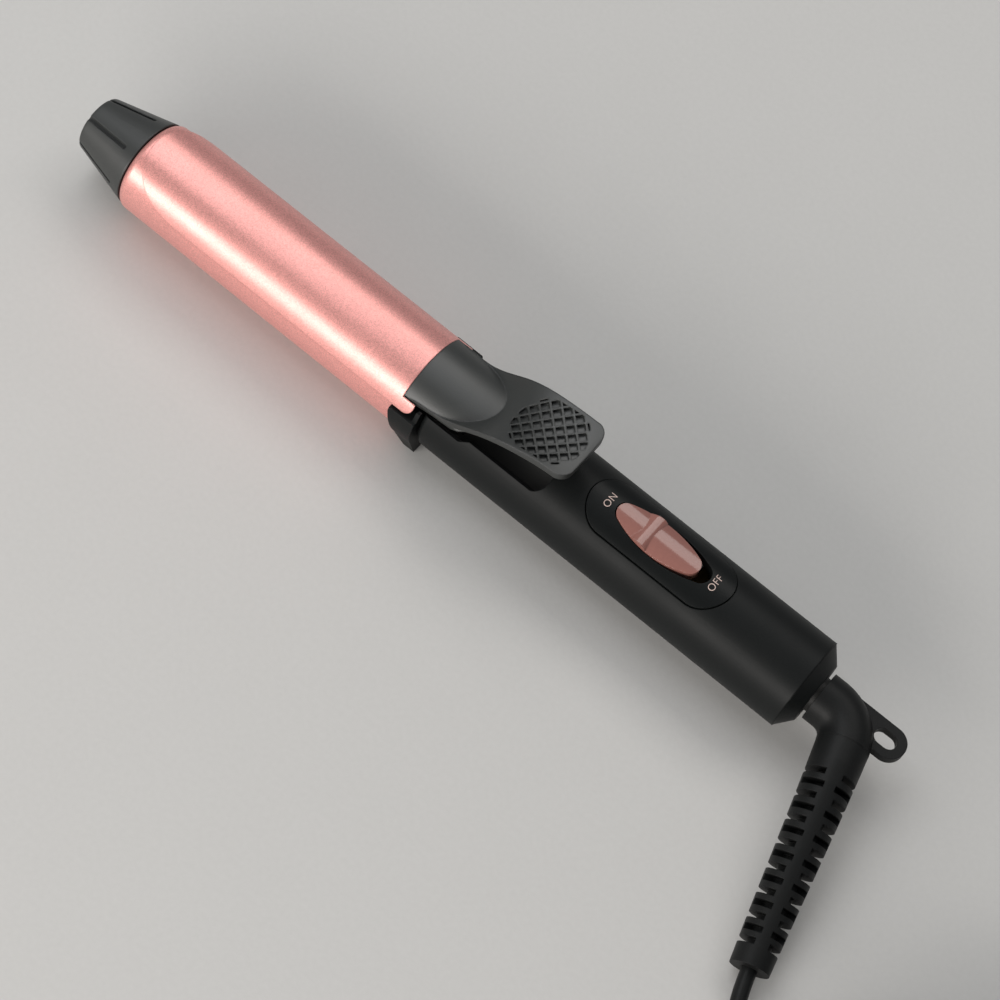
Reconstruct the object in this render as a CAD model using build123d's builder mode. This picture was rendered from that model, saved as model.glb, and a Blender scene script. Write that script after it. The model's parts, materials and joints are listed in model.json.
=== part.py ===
from build123d import *
from math import asin, cos, degrees, hypot, pi, radians, sin, sqrt, tan
import os

# Mini hair curler with a swivel mains lead, in millimetres.
# +X runs along the iron from the cool tip towards the lead, +Z is up.
# The iron's axis is level at y = 0, and the stand foot meets the surface at z = 0.

# Iron
BARREL_R = 12.7
HANDLE_R = 12.5
HANDLE_WALL = 2.0
CORE_WALL = 2.1
RUN_FIT = 0.05
SEAT_FIT = 0.1
STAND_HEIGHT = BARREL_R + 1.8
CORE_BORE_R = HANDLE_R - HANDLE_WALL - SEAT_FIT - CORE_WALL

# Barrel and cool tip
BARREL_WALL = 1.0
BARREL_FRONT = -97.65
BARREL_REAR = -7.0
BARREL_NOSE_R = 2.2
BARREL_LIP_R = BARREL_R - 3.1
TIP_LENGTH = 17.85
TIP_REAR_R = BARREL_R - 0.6
TIP_FRONT_R = TIP_REAR_R - 4.5
TIP_DOME = 0.4
TIP_RIM_R = 1.0
TIP_WALL = 2.0
TIP_SPIGOT = 6.0
TIP_SLOT_COUNT = 6
TIP_SLOT_WIDTH = 1.15
TIP_SLOT_DEPTH = 1.1
TIP_SLOT_SOLID = 3.4
BUSHING_LENGTH = 7.0

# Heater
SPREADER_FRONT = -87.0
SPREADER_REAR = -20.0
SPREADER_HOLE_R = 2.0
SPREADER_HOLE_Y = 6.0
SPREADER_HOLE_H = 5.2
HEATER_FRONT = -80.0
HEATER_REAR = -32.0
HEATER_WIDTH = 11.0
HEATER_THICK = 2.0
FILM_WALL = 0.4
FILM_OVERHANG = 2.0
CLIP_THICK = 0.5
CLIP_WIDTH = 5.0
CLIP_GAP_DEG = 50.0
CLIP_STATIONS = (-76.0, -34.0)
FUSE_R = 1.8
FUSE_LENGTH = 12.0
WIRE_R = 0.9
WIRE_BEND_R = 10.0
WIRE_STRAIGHT = 2.0
WIRE_RISE = 10.0

# Clamp plate
CLAMP_GAP = 0.25
CLAMP_SHEET = 0.8
CLAMP_TIP = -95.2
CLAMP_HALF_ANGLE = 67.5
CLAMP_NOSE_LENGTH = 18.3
CLAMP_NOSE_POWER = 2.3
CLAMP_NOSE_SECTIONS = 12
CLAMP_EAR_CORNER_R = 2.4
CLAMP_EAR_REAR = -2.0
TONGUE_DROP = 0.9
TONGUE_HALF_ANGLE = 38.0
TONGUE_REAR = 8.0
EAR_SLIT = 0.2

# Hinge
PIVOT_X = -2.0
PIVOT_HEIGHT = 7.0
PIN_R = 1.25
PIN_HEAD_R = 2.0
PIN_HEAD_THICK = 0.6
LUG_R = 2.2
EAR_R = 2.4
EAR_INNER_Y = 4.2
EAR_OUTER_Y = 6.2
LUG_INNER_Y = 6.6
SPRING_WIRE_R = 0.45
SPRING_COIL_R = 1.95
SPRING_TURNS = 5
SPRING_LEG_TURN = 0.44
SPRING_PITCH = 1.3
SPRING_LOWER_LEG = 13.0
SPRING_UPPER_LEG = 5.0

# Thumb lever
LEVER_FRONT = -5.8
LEVER_REAR = 40.0
LEVER_SKIN = 0.9
LEVER_THICK = 2.3
LEVER_FRONT_ANGLE = 50.0
LEVER_HALF_WIDTH = 8.95
LEVER_CORNER_R = 3.5
SADDLE_REAR = 17.0
RIVET_DEPTH = 0.5
# Ramp sections: station, height of the centre line, rise of the edges over it, half-width
LEVER_LINE = (
    (-5.8, 4.4, 3.4, 10.5),
    (2.0, 6.4, 3.4, 10.0),
    (8.8, 8.9, 3.4, 9.75),
    (14.4, 13.1, 3.2, 9.75),
    (19.8, 17.3, 2.1, 9.65),
    (27.0, 20.6, 1.2, 9.3),
    (34.0, 22.2, 0.9, 8.95),
    (40.0, 22.9, 0.8, 8.95),
)
PAD_X = 28.9
PAD_R = 9.5
PAD_HALF_WIDTH = 8.2
PAD_PITCH = 2.5
PAD_RIB = 0.55
PAD_DEPTH = 0.85
PAD_COUNT = 9
PAD_LEAST_CELL = 0.3
RIVET_R = 1.0
RIVET_HEAD_R = 1.8
RIVET_HEAD_THICK = 0.7
RIVET_ANGLE = 18.0
RIVET_X = 4.2

# Collar between barrel and handle
COLLAR_R = BARREL_R + 1.4
COLLAR_REAR = 0.2
COLLAR_FRONT = -7.6
NOTCH_HEIGHT = 4.3
HORN_FRONT = -1.0
HORN_R = COLLAR_R - 0.9
HORN_TOP_ANGLE = 58.5
SADDLE_TOP = 3.6
SPIGOT_LENGTH = 7.0
SPIGOT_WALL = 2.2
NECK_R = CORE_BORE_R - SEAT_FIT
NECK_REAR = 10.6
WIRE_BORE_R = NECK_R - 3.4
WIRE_BORE_HEIGHT = -2.0
FOOT_TOP = -3.0
FOOT_TOP_HALF_WIDTH = COLLAR_R - 0.4
FOOT_HALF_WIDTH = 10.1
FOOT_LENGTH = 3.4

# Handle
HANDLE_FRONT = 0.7
HANDLE_REAR = 112.1
HANDLE_FRONT_FILLET = 1.6
WELL_REAR = 35.5
WELL_FRONT_ANGLE = 56.0
WELL_REAR_ANGLE = 48.0
WELL_JOG_FRONT = 11.3
WELL_JOG_REAR = 13.8
WELL_CORNER_R = 3.5
WELL_FLOOR = 4.5
FLOOR_THICK = 1.3
CORE_FRONT = 0.9
CORE_REAR = 103.0
CORE_SCREW_R = 1.0
CORE_SCREW_HEAD_R = 1.9
CORE_SCREW_X = 5.5
CORE_SCREW_ANGLE = 125.0

# Switch
PANEL_FRONT = 44.3
PANEL_REAR = 86.3
PANEL_WIDTH = 15.3
PANEL_PROUD = 0.25
PANEL_FLANGE = 1.3
PANEL_LIP = 1.6
PANEL_GROOVE = 0.25
PANEL_UNDERSIDE = HANDLE_R - 3.3
BUTTON_FRONT = 52.0
BUTTON_REAR = 76.6
BUTTON_WIDTH = 9.4
BUTTON_PROUD = 0.5
BUTTON_RIDGE = 0.45
BUTTON_RIDGE_X = 62.0
BUTTON_RIDGE_LENGTH = 3.6
BUTTON_CLEARANCE = 0.3
SWITCH_TRAVEL = 3.0
SLIDER_LENGTH = 24.0
SLIDER_WIDTH = 11.0
SLIDER_THICK = 1.1
SLIDER_GAP = 0.1
ACTUATOR_SIZE = 2.4
SWITCH_BODY_LENGTH = 21.0
SWITCH_BODY_WIDTH = 8.0
BOARD_FRONT = 44.0
BOARD_REAR = 86.0
BOARD_WIDTH = 2 * HANDLE_R - 6.6
BOARD_THICK = 1.2
BOARD_SCREW_R = 1.0
BOARD_SCREW_HEAD_R = 1.8
BOARD_SCREW_STATIONS = (47.5, 83.0)
BOARD_BOSS_R = 2.2
BOARD_WIRE_Y = 3.3
BOARD_WIRE_LAP = 10.0
BOARD_CORNER_R = 1.5
TERMINAL_R = 0.5
TERMINAL_STATIONS = (58.0, 64.3, 70.6)

# End cap and swivel
CAP_REAR = 115.5
CAP_FRONT_R = HANDLE_R - 0.2
CAP_REAR_R = HANDLE_R - 4.3
CAP_SPIGOT_FRONT = 105.5
CHAMBER_R = HANDLE_R - 5.1
CHAMBER_REAR = 110.6
STEM_R = 0.65 * CHAMBER_R
STEM_FLANGE_R = CHAMBER_R - 0.4
STEM_FLANGE_THICK = 2.0
STEM_RING_R = 0.36 * CORE_BORE_R
STEM_FRONT = 91.0
STEM_BORE_R = 1.9
CAP_EDGE_R = 0.6
RETAINER_THICK = 1.8
RETAINER_SCREW_R = 0.7
RETAINER_SCREW_HEAD_R = 1.3
RETAINER_SCREW_Y = HANDLE_R - 3.8
RETAINER_SCREW_HEAD_THICK = 0.6
RETAINER_SCREW_DEPTH = 5.0
SLIP_RING_R = 0.47 * CORE_BORE_R
SLIP_RING_WIDTH = 2.2
SLIP_RING_STATIONS = (94.0, 99.0)
BRUSH_WIDTH = 1.8
BRUSH_THICK = 0.3
BRUSH_BLOCK_TOP = -0.675 * CORE_BORE_R
BRUSH_BLOCK_HALF = 0.48 * CORE_BORE_R
BRUSH_FOOT = 0.35
SUPPLY_WIRE_R = 0.8
SUPPLY_WIRE_Y = 0.578 * CORE_BORE_R
SUPPLY_WIRE_LAP = 10.0
SUPPLY_WIRE_DROP = 5.0
SUPPLY_WIRE_BEND_R = 3.0

# Swivel elbow and strain relief
ELBOW_ROOT = 116.5
ELBOW_CORNER = 126.5
ELBOW_R = 6.6
ELBOW_BEND_R = 9.0
ELBOW_TURN = 74.4
ELBOW_TAIL = 7.2
TAB_END = 140.6
TAB_HALF_WIDTH = 4.3
TAB_Y = 1.5
TAB_THICK = 2.6
TAB_HOLE_LENGTH = 6.1
TAB_HOLE_WIDTH = 4.2
TAB_HOLE_X = 135.05
TAB_NOTCH_X = 134.1
TAB_NOTCH_Y = -5.6
TAB_ROOT_X = 131.0
TAB_ROOT_Y = -8.0
RELIEF_LENGTH = 56.5
RELIEF_START_R = 6.55
RELIEF_END_R = 4.95
RELIEF_END_HEIGHT = 5.2
RELIEF_GAP_COUNT = 15
RELIEF_GAP_PITCH = 3.0
RELIEF_GAP_WIDTH = 1.6
RELIEF_END_RING = 5.6
RELIEF_CORE_R = 3.1
RELIEF_LONG_SLOT = 140.0
RELIEF_SHORT_SLOT = 64.0
RELIEF_DROOP = 0.85
RELIEF_SECTIONS = 10

# Lead: cord, coil, tie and two-blade plug
CORD_R = 2.0
CORD_TAKE_UP = 4.0
CORD_STRAIGHT = 2.5
LEAD_ROUTE = (
    (146.6, -70.0, 4.2),
    (152.42, -80.5, 3.1),
    (163.57, -91.27, 2.7),
)
COIL_CENTRE = (196.0, -78.0)
COIL_START_DEG = 235.0
COIL_OUTER_R = 29.0
COIL_PITCH = 4.5
COIL_TURNS = 11.5
COIL_LAYER_TURNS = 2.5
COIL_LAYERS = 4
COIL_CLIMB_TURNS = 0.5
COIL_DROP_DEG = 240.0
COIL_DROP_R = 34.8
COIL_BASE = 2.7
TAIL_ROUTE = (
    (221.13, -104.68, 2.7),
    (227.59, -99.63, 3.4),
    (232.75, -93.26, 4.7),
    (236.35, -85.89, 5.9),
    (238.19, -77.9, 6.5),
)
TIE_DEG = 330.0
TIE_WIDTH = 5.0
TIE_THICK = 0.6
TIE_GAP = 0.3
LEAST_CORD_GAP = 0.4
PLUG_POINT = (238.19, -69.9, 6.5)
PLUG_HEADING = 90.0
PLUG_RELIEF_LENGTH = 20.0
PLUG_RELIEF_START_R = 3.3
PLUG_RELIEF_END_R = 4.6
PLUG_LENGTH = 26.0
PLUG_REAR_HALF_WIDTH = 7.0
PLUG_HALF_WIDTH = 11.8
PLUG_THICK = 12.6
BLADE_LENGTH = 17.5
BLADE_WIDTH = 6.35
BLADE_THICK = 1.5
BLADE_SPACING = 12.7
BLADE_SEAT = 6.0
BLADE_TIP_CHAMFER = 0.5
PLUG_EDGE_R = 2.0

SIDE = Plane(origin=(0, 0, STAND_HEIGHT), x_dir=(1, 0, 0), z_dir=(0, -1, 0))
IRON_AXIS = Axis((0, 0, STAND_HEIGHT), (1, 0, 0))


def section(x):
    """Plane across the iron at station x: local x is +Y, local y is height above the axis."""
    return Plane(origin=(x, 0, STAND_HEIGHT), x_dir=(0, 1, 0), z_dir=(1, 0, 0))


def plan(height):
    """Level plane at a height above the iron's axis: local x and y are X and Y."""
    return Plane.XY.offset(STAND_HEIGHT + height)


def radial(x, angle, radius):
    """Plane facing outwards at an angle from the top, its local x along the iron."""
    out = Vector(0, sin(radians(angle)), cos(radians(angle)))
    return Plane(origin=Vector(x, 0, STAND_HEIGHT) + out * radius, x_dir=(1, 0, 0), z_dir=out)


def ring_sector(r_in, r_out, centre, span):
    """Sketch face: the part of a ring between two radii, about a direction in degrees."""
    first = centre - span / 2
    with BuildLine() as boundary:
        inner = CenterArc((0, 0), r_in, first, span)
        outer = CenterArc((0, 0), r_out, first, span)
        Line(inner @ 0, outer @ 0)
        Line(inner @ 1, outer @ 1)
    return make_face(boundary.edges())


def sector(half_angle, radius):
    """Sketch face: a slice of a disc about the top of the iron."""
    with BuildLine() as boundary:
        rim = CenterArc((0, 0), radius, 90 - half_angle, 2 * half_angle)
        Line(rim @ 0, (0, 0))
        Line(rim @ 1, (0, 0))
    return make_face(boundary.edges())


def smooth(u):
    """Level at both ends, from 0 to 1."""
    u = min(max(u, 0.0), 1.0)
    return u * u * (3 - 2 * u)


def name_and_write(part, name):
    part.label = name
    export_step(part, f"parts/{name}.step")


os.makedirs("parts", exist_ok=True)

barrel_inner = BARREL_R - BARREL_WALL
clamp_inner = BARREL_R + CLAMP_GAP
clamp_outer = clamp_inner + CLAMP_SHEET
tip_front = BARREL_FRONT - TIP_LENGTH
handle_bore = HANDLE_R - HANDLE_WALL

# Cool tip: a hollow cone with a spigot in the barrel and six slots open at its front rim
tip_spigot_r = BARREL_LIP_R - SEAT_FIT
tip_bore_r = tip_spigot_r - TIP_WALL
with BuildPart() as cool_tip:
    with BuildSketch(SIDE) as tip_profile:
        with BuildLine():
            face = ThreePointArc(
                (tip_front, 0),
                (tip_front + TIP_DOME / 4, TIP_FRONT_R / 2),
                (tip_front + TIP_DOME, TIP_FRONT_R),
            )
            Polyline(
                face @ 1,
                (BARREL_FRONT, TIP_REAR_R),
                (BARREL_FRONT, tip_spigot_r),
                (BARREL_FRONT + TIP_SPIGOT, tip_spigot_r),
                (BARREL_FRONT + TIP_SPIGOT, tip_bore_r),
                (BARREL_FRONT, tip_bore_r),
                (tip_front + TIP_WALL, TIP_FRONT_R - TIP_WALL),
                (tip_front + TIP_WALL, 0),
                face @ 0,
            )
        make_face()
        fillet(tip_profile.vertices().sort_by(Axis.X)[1], TIP_RIM_R)
    revolve(axis=IRON_AXIS)
    cone_angle = degrees(asin((TIP_REAR_R - TIP_FRONT_R) / hypot(TIP_LENGTH, TIP_REAR_R - TIP_FRONT_R)))
    slot_r = TIP_REAR_R - TIP_SLOT_SOLID * tan(radians(cone_angle))
    for index in range(TIP_SLOT_COUNT):
        turn = radians((index + 0.5) * 360 / TIP_SLOT_COUNT)
        lean = radians(cone_angle)
        slot_plane = Plane(
            origin=(
                BARREL_FRONT - TIP_SLOT_SOLID,
                slot_r * sin(turn),
                STAND_HEIGHT + slot_r * cos(turn),
            ),
            x_dir=(-cos(lean), -sin(lean) * sin(turn), -sin(lean) * cos(turn)),
            z_dir=(-sin(lean), cos(lean) * sin(turn), cos(lean) * cos(turn)),
        )
        with BuildSketch(slot_plane):
            with Locations((TIP_SLOT_WIDTH / 2, 0)):
                Circle(TIP_SLOT_WIDTH / 2)
                Rectangle(TIP_LENGTH, TIP_SLOT_WIDTH, align=(Align.MIN, Align.CENTER))
        extrude(amount=-TIP_SLOT_DEPTH, mode=Mode.SUBTRACT)
name_and_write(cool_tip.part, "cool_tip")

# Barrel: a tube whose front end is rolled in to a lip
with BuildPart() as barrel:
    with BuildSketch(SIDE) as barrel_profile:
        with BuildLine():
            Polyline(
                (BARREL_FRONT, BARREL_LIP_R),
                (BARREL_FRONT, BARREL_R),
                (BARREL_REAR, BARREL_R),
                (BARREL_REAR, barrel_inner),
                (BARREL_FRONT + BARREL_WALL, barrel_inner),
                (BARREL_FRONT + BARREL_WALL, BARREL_LIP_R),
                close=True,
            )
        make_face()
        nose = barrel_profile.vertices().group_by(Axis.X)[0].sort_by(Axis.Y)[-1]
        fillet(nose, BARREL_NOSE_R)
        inside = barrel_profile.vertices().filter_by(
            lambda v: abs(v.X - BARREL_FRONT - BARREL_WALL) < 1e-3 and v.Y > BARREL_LIP_R + 1e-3
        )
        fillet(inside, BARREL_NOSE_R - BARREL_WALL)
    revolve(axis=IRON_AXIS)
name_and_write(barrel.part, "barrel")

# Tip bushing: insulating ring in the barrel's nose that takes the tip's spigot
bushing_front = BARREL_FRONT + BARREL_NOSE_R
with BuildPart() as tip_bushing:
    with BuildSketch(section(bushing_front)):
        Circle(barrel_inner - SEAT_FIT)
        Circle(tip_spigot_r + SEAT_FIT, mode=Mode.SUBTRACT)
    extrude(amount=BUSHING_LENGTH)
    with BuildSketch(section(bushing_front + BUSHING_LENGTH)):
        Circle(barrel_inner - SEAT_FIT)
        Circle(FUSE_R, mode=Mode.SUBTRACT)
    extrude(amount=SPREADER_FRONT - bushing_front - BUSHING_LENGTH)
name_and_write(tip_bushing.part, "tip_bushing")

# Heat spreaders: two half-round extrusions pressed on the heater by sprung clips
spreader_r = barrel_inner - SEAT_FIT
film_half = HEATER_THICK / 2 + FILM_WALL + RUN_FIT
clip_seat_r = spreader_r - CLIP_THICK - SEAT_FIT
fuse_r_bore = FUSE_R + SEAT_FIT


def heat_spreader(side):
    with BuildPart() as spreader:
        with BuildSketch(section(SPREADER_FRONT)):
            Circle(spreader_r)
            with Locations((0, side * (film_half - spreader_r))):
                Rectangle(2 * spreader_r, 2 * spreader_r, mode=Mode.SUBTRACT)
            hole_height = side * SPREADER_HOLE_H
            with Locations((SPREADER_HOLE_Y, hole_height), (-SPREADER_HOLE_Y, hole_height)):
                Circle(SPREADER_HOLE_R, mode=Mode.SUBTRACT)
        extrude(amount=SPREADER_REAR - SPREADER_FRONT)
        for station in CLIP_STATIONS:
            with BuildSketch(section(station - CLIP_WIDTH / 2 - SEAT_FIT)):
                Circle(spreader_r + 1)
                Circle(clip_seat_r, mode=Mode.SUBTRACT)
            extrude(amount=CLIP_WIDTH + 2 * SEAT_FIT, mode=Mode.SUBTRACT)
        if side < 0:
            with BuildSketch(section(SPREADER_REAR)):
                with Locations((0, -fuse_height)):
                    Circle(fuse_r_bore)
            extrude(amount=-FUSE_LENGTH - SEAT_FIT, mode=Mode.SUBTRACT)
    return spreader.part


fuse_height = film_half + fuse_r_bore + 2.5
name_and_write(heat_spreader(1), "heat_spreader_upper")
name_and_write(heat_spreader(-1), "heat_spreader_lower")

# Spreader clips: open rings of spring steel
clip_inner = clip_seat_r + SEAT_FIT / 2
with BuildPart() as spreader_clips:
    for station in CLIP_STATIONS:
        with BuildSketch(section(station - CLIP_WIDTH / 2)):
            ring_sector(clip_inner, clip_inner + CLIP_THICK, 90, 360 - CLIP_GAP_DEG)
        extrude(amount=CLIP_WIDTH)
name_and_write(spreader_clips.part, "spreader_clips")

# Heater plate and the insulating film round it
with BuildPart() as heater_plate:
    with BuildSketch(section(HEATER_FRONT)):
        Rectangle(HEATER_WIDTH, HEATER_THICK)
    extrude(amount=HEATER_REAR - HEATER_FRONT)
name_and_write(heater_plate.part, "heater_plate")

with BuildPart() as heater_film:
    with BuildSketch(section(HEATER_FRONT - FILM_OVERHANG)):
        Rectangle(HEATER_WIDTH + 2 * FILM_WALL, HEATER_THICK + 2 * FILM_WALL)
        Rectangle(HEATER_WIDTH, HEATER_THICK, mode=Mode.SUBTRACT)
    extrude(amount=HEATER_REAR - HEATER_FRONT + 2 * FILM_OVERHANG)
name_and_write(heater_film.part, "heater_film")

# Thermal fuse in the lower spreader
with BuildPart() as thermal_fuse:
    with BuildSketch(section(SPREADER_REAR)):
        with Locations((0, -fuse_height)):
            Circle(FUSE_R)
    extrude(amount=-FUSE_LENGTH)
    chamfer(thermal_fuse.edges().group_by(Axis.X)[0], FUSE_R / 3)
name_and_write(thermal_fuse.part, "thermal_fuse")

# Heater wires: from the heater plate through the collar to the underside of the switch board
board_base = 0.0
wire_low = board_base - WIRE_R
wire_y = WIRE_BORE_R - WIRE_R - 6 * SEAT_FIT
with BuildPart() as heater_wires:
    for side in (1, -1):
        with BuildLine() as wire_path:
            FilletPolyline(
                (HEATER_REAR, side * wire_y, STAND_HEIGHT),
                (NECK_REAR + WIRE_STRAIGHT, side * wire_y, STAND_HEIGHT),
                (NECK_REAR + WIRE_STRAIGHT + WIRE_RISE, side * BOARD_WIRE_Y, STAND_HEIGHT + wire_low),
                (BOARD_FRONT + BOARD_WIRE_LAP, side * BOARD_WIRE_Y, STAND_HEIGHT + wire_low),
                radius=WIRE_BEND_R,
            )
        with BuildSketch(Plane(origin=wire_path.line @ 0, z_dir=(1, 0, 0))):
            Circle(WIRE_R)
        sweep(path=wire_path.line)
name_and_write(heater_wires.part, "heater_wires")

# Collar: spigot in the barrel, notched saddle with hinge ears, stand foot and neck in the handle
foot_base = -STAND_HEIGHT
with BuildPart() as barrel_collar:
    with BuildSketch(section(BARREL_REAR)):
        Circle(COLLAR_R)
    extrude(amount=COLLAR_REAR - BARREL_REAR)
    with BuildSketch(section(COLLAR_FRONT)):
        Circle(COLLAR_R)
        Circle(BARREL_R + SEAT_FIT, mode=Mode.SUBTRACT)
    extrude(amount=BARREL_REAR - COLLAR_FRONT)
    with BuildSketch(section(COLLAR_FRONT)):
        with BuildLine():
            Polyline(
                (-FOOT_TOP_HALF_WIDTH, FOOT_TOP),
                (-FOOT_HALF_WIDTH, foot_base),
                (FOOT_HALF_WIDTH, foot_base),
                (FOOT_TOP_HALF_WIDTH, FOOT_TOP),
                close=True,
            )
        make_face()
        Circle(BARREL_R + SEAT_FIT, mode=Mode.SUBTRACT)
    extrude(amount=COLLAR_REAR - COLLAR_FRONT)
    # The saddle is open above the notch, and the front slopes back to the foot
    with BuildSketch(SIDE):
        with BuildLine():
            Polyline(
                (COLLAR_FRONT - 1, NOTCH_HEIGHT),
                (COLLAR_REAR + 1, NOTCH_HEIGHT),
                (COLLAR_REAR + 1, COLLAR_R + 1),
                (COLLAR_FRONT - 1, COLLAR_R + 1),
                close=True,
            )
        make_face()
        with BuildLine():
            Polyline(
                (COLLAR_FRONT, NOTCH_HEIGHT + 1),
                (COLLAR_FRONT, NOTCH_HEIGHT - 1.2),
                (COLLAR_REAR - FOOT_LENGTH, foot_base),
                (COLLAR_FRONT, foot_base - 1),
                (COLLAR_FRONT - 1, foot_base - 1),
                (COLLAR_FRONT - 1, NOTCH_HEIGHT + 1),
                close=True,
            )
        make_face()
    extrude(amount=COLLAR_R + 1, both=True, mode=Mode.SUBTRACT)
    # Horns beside the lever, at the collar's rear
    for side in (1, -1):
        with BuildSketch(section(HORN_FRONT)):
            ring_sector(NECK_R + 1.8, HORN_R, 90 + side * (HORN_TOP_ANGLE + 10), 20)
        extrude(amount=COLLAR_REAR - HORN_FRONT)
    # Flat saddle floor under the pin, between the horns
    with BuildSketch(SIDE):
        with Locations(((BARREL_REAR + COLLAR_REAR) / 2, SADDLE_TOP + 2)):
            Rectangle(COLLAR_REAR - BARREL_REAR, 4)
    extrude(amount=NECK_R + 1.8, both=True, mode=Mode.SUBTRACT)
    # Hinge ears
    for side in (1, -1):
        with BuildSketch(SIDE.offset(-side * (EAR_INNER_Y + EAR_OUTER_Y) / 2)):
            with Locations((PIVOT_X, PIVOT_HEIGHT)):
                Circle(EAR_R)
            with Locations((PIVOT_X, (PIVOT_HEIGHT + SADDLE_TOP) / 2)):
                Rectangle(2 * EAR_R, PIVOT_HEIGHT - SADDLE_TOP)
        extrude(amount=(EAR_OUTER_Y - EAR_INNER_Y) / 2, both=True)
    with BuildSketch(SIDE):
        with Locations((PIVOT_X, PIVOT_HEIGHT)):
            Circle(PIN_R + RUN_FIT / 2)
    extrude(amount=EAR_OUTER_Y + 1, both=True, mode=Mode.SUBTRACT)
    # Spigot, neck and wire bore
    with BuildSketch(section(BARREL_REAR)):
        Circle(barrel_inner - SEAT_FIT)
    extrude(amount=-SPIGOT_LENGTH)
    with BuildSketch(section(BARREL_REAR - SPIGOT_LENGTH)):
        Circle(barrel_inner - SEAT_FIT - SPIGOT_WALL)
    extrude(amount=SPIGOT_LENGTH, mode=Mode.SUBTRACT)
    with BuildSketch(section(COLLAR_REAR)):
        Circle(NECK_R)
    extrude(amount=NECK_REAR - COLLAR_REAR)
    with BuildSketch(SIDE):
        with Locations(((COLLAR_REAR + NECK_REAR) / 2, SADDLE_TOP + NECK_R / 2)):
            Rectangle(NECK_REAR - COLLAR_REAR, NECK_R)
    extrude(amount=NECK_R, both=True, mode=Mode.SUBTRACT)
    with BuildSketch(section(NECK_REAR)):
        with Locations((0, WIRE_BORE_HEIGHT)):
            Circle(WIRE_BORE_R)
    extrude(amount=BARREL_REAR - NECK_REAR, mode=Mode.SUBTRACT)
    for side in (1, -1):
        with BuildSketch(radial(CORE_SCREW_X, side * CORE_SCREW_ANGLE, NECK_R)):
            Circle(CORE_SCREW_R)
        extrude(amount=-NECK_R + WIRE_BORE_R, mode=Mode.SUBTRACT)
name_and_write(barrel_collar.part, "barrel_collar")

# Hinge pin with a head at each end
pin_half = LUG_INNER_Y + CLAMP_SHEET + 2 * SEAT_FIT
with BuildPart() as hinge_pin:
    with BuildSketch(SIDE):
        with Locations((PIVOT_X, PIVOT_HEIGHT)):
            Circle(PIN_R)
    extrude(amount=pin_half, both=True)
    for side in (1, -1):
        with BuildSketch(SIDE.offset(side * pin_half)):
            with Locations((PIVOT_X, PIVOT_HEIGHT)):
                Circle(PIN_HEAD_R)
        extrude(amount=side * PIN_HEAD_THICK)
name_and_write(hinge_pin.part, "hinge_pin")

# Clamp plate: curved sheet with a rounded nose, a stepped tongue under the lever and two pin lugs
nose_start = CLAMP_TIP + CLAMP_NOSE_LENGTH
with BuildPart() as nose_outline:
    for index in range(CLAMP_NOSE_SECTIONS):
        share = 1 - cos(pi / 2 * (index + 0.35) / (CLAMP_NOSE_SECTIONS - 0.65))
        width = (1 - (1 - share) ** CLAMP_NOSE_POWER) ** (1 / CLAMP_NOSE_POWER)
        with BuildSketch(section(CLAMP_TIP + CLAMP_NOSE_LENGTH * share)):
            ring_sector(clamp_inner - 2, clamp_outer + 2, 90, 2 * CLAMP_HALF_ANGLE * width)
    loft(ruled=True)
    with BuildSketch(section(nose_start)):
        ring_sector(clamp_inner - 2, clamp_outer + 2, 90, 2 * CLAMP_HALF_ANGLE)
    extrude(amount=CLAMP_EAR_REAR - nose_start)
tongue_outer = clamp_outer - TONGUE_DROP
tongue_inner = tongue_outer - CLAMP_SHEET
step_rear = LEVER_FRONT - SEAT_FIT
lever_edge = clamp_outer * sin(radians(LEVER_FRONT_ANGLE))
with BuildPart() as clamp_plate:
    with BuildSketch(section(CLAMP_TIP)):
        Circle(clamp_outer)
        Circle(clamp_inner, mode=Mode.SUBTRACT)
    extrude(amount=CLAMP_EAR_REAR - CLAMP_TIP)
    add(nose_outline.part, mode=Mode.INTERSECT)
    rear_edges = clamp_plate.edges().group_by(Axis.X)[-1]
    fillet(rear_edges.filter_by(lambda edge: edge.length < 2 * CLAMP_SHEET), CLAMP_EAR_CORNER_R)
    with BuildSketch(section(step_rear)):
        with Locations((0, clamp_outer)):
            Rectangle(2 * (lever_edge + EAR_SLIT), 2 * clamp_outer)
    extrude(amount=CLAMP_EAR_REAR - step_rear, mode=Mode.SUBTRACT)
    with BuildSketch(section(step_rear)):
        ring_sector(tongue_inner, clamp_outer, 90, 2 * TONGUE_HALF_ANGLE)
    extrude(amount=-CLAMP_SHEET)
    with BuildSketch(section(step_rear - CLAMP_SHEET)):
        ring_sector(tongue_inner, tongue_outer, 90, 2 * TONGUE_HALF_ANGLE)
    extrude(amount=TONGUE_REAR - step_rear + CLAMP_SHEET)
    tongue_edge = (tongue_inner + CLAMP_SHEET / 2) * cos(radians(TONGUE_HALF_ANGLE))
    for side in (1, -1):
        with BuildSketch(SIDE.offset(-side * (LUG_INNER_Y + CLAMP_SHEET / 2))):
            with Locations((PIVOT_X, PIVOT_HEIGHT)):
                Circle(LUG_R)
            with Locations((PIVOT_X, (PIVOT_HEIGHT + tongue_edge + 0.6) / 2)):
                Rectangle(2 * LUG_R, tongue_edge + 0.6 - PIVOT_HEIGHT)
        extrude(amount=CLAMP_SHEET / 2, both=True)
    with BuildSketch(SIDE):
        with Locations((PIVOT_X, PIVOT_HEIGHT)):
            Circle(PIN_R + RUN_FIT)
    extrude(amount=LUG_INNER_Y + 2, both=True, mode=Mode.SUBTRACT)
    for side in (1, -1):
        with BuildSketch(radial(RIVET_X, side * RIVET_ANGLE, tongue_outer + 1)):
            Circle(RIVET_R + RUN_FIT)
        extrude(amount=-3, mode=Mode.SUBTRACT)
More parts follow.
